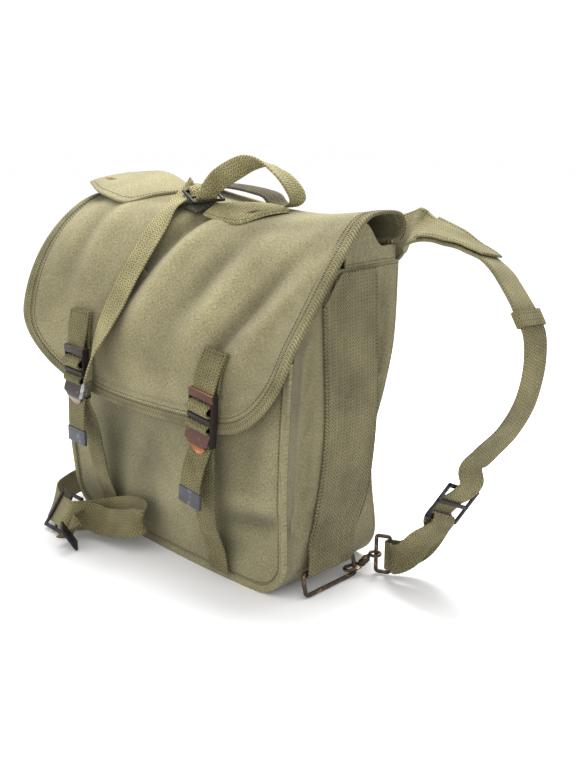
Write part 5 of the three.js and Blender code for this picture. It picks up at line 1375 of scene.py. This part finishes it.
rightLines = edgeLines(rightRoot, 80, rootWidth, rootWall / 2 + 0.05, 0.02, 4 / spans, 2.5)
rightLines += edgeLines(rightRoot, 80, rootWidth, overlayLift + 0.95, 4.1 / spans, 7.9 / spans, 2.5)
stitchPiece("shoulderRootStitches", rightLines + edgeLines(leftRoot, 80, rootWidth, rootWall / 2 + 0.05,
            0.05, 0.9, 2.5), 3.0, 2.0, 0.3, slot="webbing")


# A keeper: a woven band sewn into a flat tube round the strap.
def keeperPiece(name, place, node):
    width, long = shoulder["width"], shoulder["keeperLong"]
    outline = []
    for x, z in strapSection((width + 4.4) / 2, 6.6, 8):
        outline.append((x, z))
    inner = [(x * (width + 1.8) / (width + 4.4), z * 4 / 6.6) for x, z in outline]
    count = len(outline)
    points, uv, faces = [], [], []
    around = lengthsAlong(np.array(outline))
    for step in shares(6, -long / 2, long / 2):
        for ring in (outline, inner):
            for k, (x, z) in enumerate(ring):
                points.append(place["at"](step, z, x))
                uv.append((step, around[k]))
    for i in range(6):
        for k in range(count):
            n = (k + 1) % count
            low, high = i * 2 * count, (i + 1) * 2 * count
            faces.append((low + k, low + n, high + n, high + k))
            faces.append((low + count + k, high + count + k, high + count + n, low + count + n))
    for k in range(count):
        n = (k + 1) % count
        faces.append((k, count + k, count + n, n))
        last = 12 * count
        faces.append((last + k, last + n, last + count + n, last + count + k))
    finishPiece(meshPiece(name, points, faces, uv, 50), shoulderWebbing, "webbing", node)


keeperPiece("keeperRight", rightKeeper, "keeper_right")
keeperPiece("keeperLeft", leftKeeper, "keeper_left")

rightSlider = fittingFrame(1.561, 0.39, 0.293, (0.14, 0.89, -0.43), (0.36, 0.13, 0.93))
leftSlider = fittingFrame(-0.693, -0.875, 0.07, (0, -0.61, -0.79), (-1, 0, 0))
ends = (shoulder["sliderLong"] - shoulder["bar"]) / 2
for title, place in (("Right", rightSlider), ("Left", leftSlider)):
    parts = barFrame(shoulder["sliderWide"], shoulder["sliderLong"], (-ends, 0, ends), shoulder["bar"], 2,
                     shoulder["bar"], 0.85)
    finishPiece(joinedMesh("slider" + title, placed(parts, place["spot"])), blackSteel, "blackened_steel",
                "slider_" + title.lower())

ringOut = unit((0.88, 0.47, 0))
ringSide = np.array((-ringOut[1], ringOut[0], 0))
ringCentre = np.array((1.173 * halfWidth, 0.251 * bagDepth, shoulder["ringHeight"] / 2 + 0.9))
ringBar = shoulder["ringDeep"] / 2 - shoulder["wire"]


def ringRow(out, side):
    return ringCentre + ringOut * (ringBar + out) + ringSide * side, np.array((0, 0, -1.0))


wrap = shoulder["wire"] + 0.4 + shoulder["wall"] / 2 + 0.6
row = rightSlider["row"]
rightRows = [
    (rightKeeper["at"](0.5, 0), rightKeeper["across"]),
    *lay("x y z turn", (1.965, 0.453, 0.86, (0.13, 0.99, -0.09)), (1.98, 0.453, 0.802, (0.11, 0.98, -0.15)),
         (1.971, 0.453, 0.729, (0.09, 0.97, -0.24)), (1.936, 0.445, 0.647, (0.07, 0.93, -0.36)),
         (1.857, 0.437, 0.562, (0.03, 0.89, -0.46)), (1.73, 0.43, 0.475, (0.01, 0.82, -0.58)),
         (1.655, 0.422, 0.419, (0.05, 0.82, -0.57))),
    row(ends + 7, 3.4), row(ends, 2.9), row(ends / 2, 0.4), row(1.5, -3), row(-3, -3.9), row(-ends, -5.4),
    *lay("x y z turn", (1.457, 0.405, 0.2, (0.1, 0.8, -0.6)), (1.32, 0.385, 0.095, (0.02, 0.2, -0.97)),
         (1.25, 0.335, 0.0725, (0, 0, -1))),
    ringRow(1, wrap), ringRow(-wrap * 0.75, wrap * 0.75), ringRow(-wrap, 0),
    ringRow(-wrap * 0.75, -wrap * 0.75), ringRow(1, -wrap),
    *lay("x y z turn", (1.26, 0.235, 0.0735, (0, 0, -1)), (1.34, 0.25, 0.1, (0.05, 0.25, -0.96)),
         (1.43, 0.285, 0.165, (0.1, 0.6, -0.8)), (1.505, 0.315, 0.208, (0.13, 0.8, -0.58))),
    row(-ends - 3, 3.6), row(-ends + 0.8, 3.1), row(-ends + 3.8, 0), row(-ends + 0.8, -2.9),
    row(-ends - 4, -2.9),
]
finishPiece(strapPiece("shoulderStrapRight", rightRows, shoulder["width"], shoulder["wall"], 640, ribs=8),
            shoulderWebbing, "webbing", "shoulder_strap_right")
ringPart = wireLoop(ringCentre, (0, 0, 1), ringOut, shoulder["ringHeight"], shoulder["ringDeep"],
                    shoulder["ringBend"], shoulder["wire"])
finishPiece(joinedMesh("strapRingRight", [ringPart]), bronzeWire, "dark_bronze", "strap_ring_right")


def snapHook():
    eyeReach, wire = 4.4, 1.4
    eyeCentre = ringCentre - ringOut * (ringBar + 0.9)
    eyeCentre[2] = 0.5 * shoulder["ringHeight"]
    eye = [eyeCentre + eyeReach * np.array((math.cos(a), math.sin(a), 0)) for a in shares(32)[:-1] * 2 * math.pi]
    low = readTable(webRows, "up", "wide", wireHeight / mouthHeight) * web["width"]
    legY = readTable(webRows, "up", "out", wireHeight / mouthHeight) * bagDepth + low / 2 + 3.5
    legX = wireX + web["wireLean"] * (wireHeight - 7) / wireHeight
    heading, flat = unit((0.35, 0.93, 0.12)), unit((0.93, -0.35, 0))
    bowCentre = np.array((legX, legY - 2, 7.0))
    bow = wireLoop(bowCentre, heading, flat, 17, 10, 3, wire)
    start = bowCentre + heading * (17 / 2 - wire)
    end = eyeCentre + unit((-0.75, -0.66, -0.2)) * eyeReach
    barrel = [(0, 1.5), (0.06, 2.4), (0.1, 3.1), (0.14, 3.3), (0.3, 3.3), (0.32, 2.7), (0.36, 2.7),
              (0.38, 3.3), (0.66, 3.3), (0.72, 3.1), (0.8, 2.2), (1, 1.5)]
    body = tubeMesh([mix(start, end, share) for share, _ in barrel], [size for _, size in barrel], 14)
    tongue = tubeMesh([start + heading * -1 + flat * 4.4, bowCentre + flat * 5.2 + heading * 2,
                       bowCentre + flat * 4.4 - heading * 5], 0.7, 8)
    return joinedMesh("snapHookRight", [tubeMesh(eye, wire, 10, True), bow, body, tongue])


finishPiece(snapHook(), bronzeWire, "dark_bronze", "snap_hook_right")

row = leftSlider["row"]
leftRows = [
    (leftKeeper["at"](0.5, 0), leftKeeper["across"]),
    *lay("x y z turn", (-1.17, 0.57, 0.82, (0, 0.97, -0.2)), (-1.165, 0.45, 0.6, (0, 0.9, -0.4)),
         (-1.16, 0.2, 0.33, (0, 0.75, -0.66)), (-1.15, -0.08, 0.14, (0, 0.45, -0.9)),
         (-1.13, -0.32, 0.075, (0, 0.1, -0.99)), (-1.08, -0.56, 0.064, (0.05, 0, -1)),
         (-0.99, -0.74, 0.064, (0, -0.25, -0.95))),
    row(ends + 5, 4), row(ends, 2.9), row(ends / 2, 0.2), row(1.5, -2.9), row(-4, -4.2), row(-ends, -5.4),
    *lay("x y z turn", (-0.45, -0.72, 0.085, (0, -0.5, -0.86)), (-0.36, -0.655, 0.1, (0, -0.4, -0.92)),
         (-0.21, -0.635, 0.122, (0, -0.4, -0.92)), (-0.12, -0.64, 0.125, (0, -0.4, -0.92)),
         (-0.075, -0.675, 0.12, (0, -0.4, -0.92)), (-0.12, -0.725, 0.105, (0, -0.4, -0.92)),
         (-0.25, -0.755, 0.085, (0, -0.4, -0.92)), (-0.37, -0.775, 0.075, (0, -0.45, -0.9)),
         (-0.47, -0.8, 0.078, (0, -0.55, -0.84))),
    row(-ends - 3, -2.9), row(-ends + 0.8, -2.9), row(-ends + 3.8, 0), row(-ends + 0.8, 2.9), row(-ends - 4, 4),
    *lay("x y z turn", (-0.49, -0.965, 0.06, (0.3, -0.8, -0.5)), (-0.45, -1, 0.06, (0.6, -0.74, -0.1))),
]
finishPiece(strapPiece("shoulderStrapLeft", leftRows, shoulder["width"], shoulder["wall"], 640, ribs=8),
            shoulderWebbing, "webbing", "shoulder_strap_left")
strapTip("strapTipLeft", leftRows[-1][0], (0.7, -0.4, -0.18), np.array((0.687, -0.668, 0.286)),
         shoulder["width"] + 1.4, 13.6, blackSteel, "strap_tip_left")
print("shoulder straps made")

# ---- seams on the body

seams = {"inset": 7.5}


def frontSeam(hand):
    inset, line = seams["inset"], []
    for z in np.arange(mouthHeight * 0.75, cornerRadius, -3.0):
        x = hand * (halfWidth - inset)
        line.append((x, frontDepth(x, z) - frontFold(x, z) - welt(x, z) - 0.1, z))
    radius = cornerRadius - inset
    for angle in shares(8) * math.pi / 2:
        x = hand * (halfWidth - cornerRadius + radius * math.cos(angle))
        z = cornerRadius - radius * math.sin(angle)
        line.append((x, frontDepth(x, z) - frontFold(x, z) - welt(x, z) - 0.1, z))
    return line


bottomSeam = []
for x in np.arange(halfWidth - cornerRadius, -halfWidth + cornerRadius, -4.0):
    z = seams["inset"]
    bottomSeam.append((x, frontDepth(x, z) - frontFold(x, z) - welt(x, z) - 0.1, z))
stitchPiece("frontSeamStitches", [frontSeam(1) + bottomSeam + frontSeam(-1)[::-1]], 3.2, 2.2, 0.28)



def seamRidge(name, depthAt, inset, radius):
    line = []
    for hand in (1, -1):
        half = [(hand * (halfWidth - inset), z) for z in np.arange(mouthHeight - 4, cornerRadius, -4.0)]
        reach = cornerRadius - inset
        half += [(hand * (halfWidth - cornerRadius + reach * math.cos(a)), cornerRadius - reach * math.sin(a))
                 for a in shares(10) * math.pi / 2]
        line += half if hand == 1 else half[::-1]
    points = [(x, depthAt(x, z), z) for x, z in line if z < mouthHeight * 0.78 or inset < 3]
    return joinedMesh(name, [tubeMesh(points, radius, 8, False, (0.1, 1, 0.1))])


finishPiece(seamRidge("frontWeltRidge", lambda x, z: frontDepth(x, z) - welt(x, z) - 0.3, 4.4, 1.1),
            tapeWebbing, "canvas")
finishPiece(seamRidge("backSeamRidge", lambda x, z: backDepth(x, z) - 0.6, 1.1, 1.1), bagCanvas, "canvas")

mouthLines = []
for hand in (1, -1):
    for drop in (2.2, -2.6):
        line = []
        for y in shares(40, 0.06 * bagDepth, backDepth(halfWidth, mouthHeight) - 4):
            z = mouthHeight - drop
            out = 0.15 + (2.75 if drop > 0 and abs(y - 0.085 * bagDepth) < web["width"] / 2 else 0)
            if z < rimHeight(halfWidth, lambda height: y, z + 1):
                line.append((hand * (halfWidth + out), y, z))
        if len(line) > 2:
            mouthLines.append(line)
stitchPiece("mouthSeamStitches", mouthLines, 3.2, 2.2, 0.3)
print("seams stitched")

# ---- floor and light

floorMesh = bpy.data.meshes.new("floor")
floorMesh.from_pydata([(-6, -6, 0), (6, -6, 0), (6, 6, 0), (-6, 6, 0)], [], [(0, 1, 2, 3)])
floor = bpy.data.objects.new("floor", floorMesh)
bpy.context.scene.collection.objects.link(floor)
floorMaterial, floorTree, floorShader = newMaterial("matt white paper")
floorShader.inputs["Base Color"].default_value = linear("f4f4f5")
floorShader.inputs["Roughness"].default_value = 1.0
floorShader.inputs["Specular IOR Level"].default_value = 0.0
floorMesh.materials.append(floorMaterial)

world = bpy.data.worlds.new("studio")
world.use_nodes = True
world.node_tree.nodes["Background"].inputs[0].default_value = (1, 1, 1, 1)
world.node_tree.nodes["Background"].inputs[1].default_value = 1.1
bpy.context.scene.world = world
bpy.context.scene.view_settings.view_transform = "Standard"

lights = (
    ("softboxTop", (-0.18, 0.34, 1.15), 0.7, 20),
    ("softboxLeft", (-0.9, -1.3, 0.5), 0.8, 5),
)
for name, place, size, power in lights:
    data = bpy.data.lights.new(name, "AREA")
    data.shape, data.size, data.energy = "SQUARE", size, power
    light = bpy.data.objects.new(name, data)
    light.location = place
    light.rotation_euler = (Vector((0, 0, 0.13)) - Vector(place)).to_track_quat("-Z", "Y").to_euler()
    bpy.context.scene.collection.objects.link(light)
print("floor and light made")
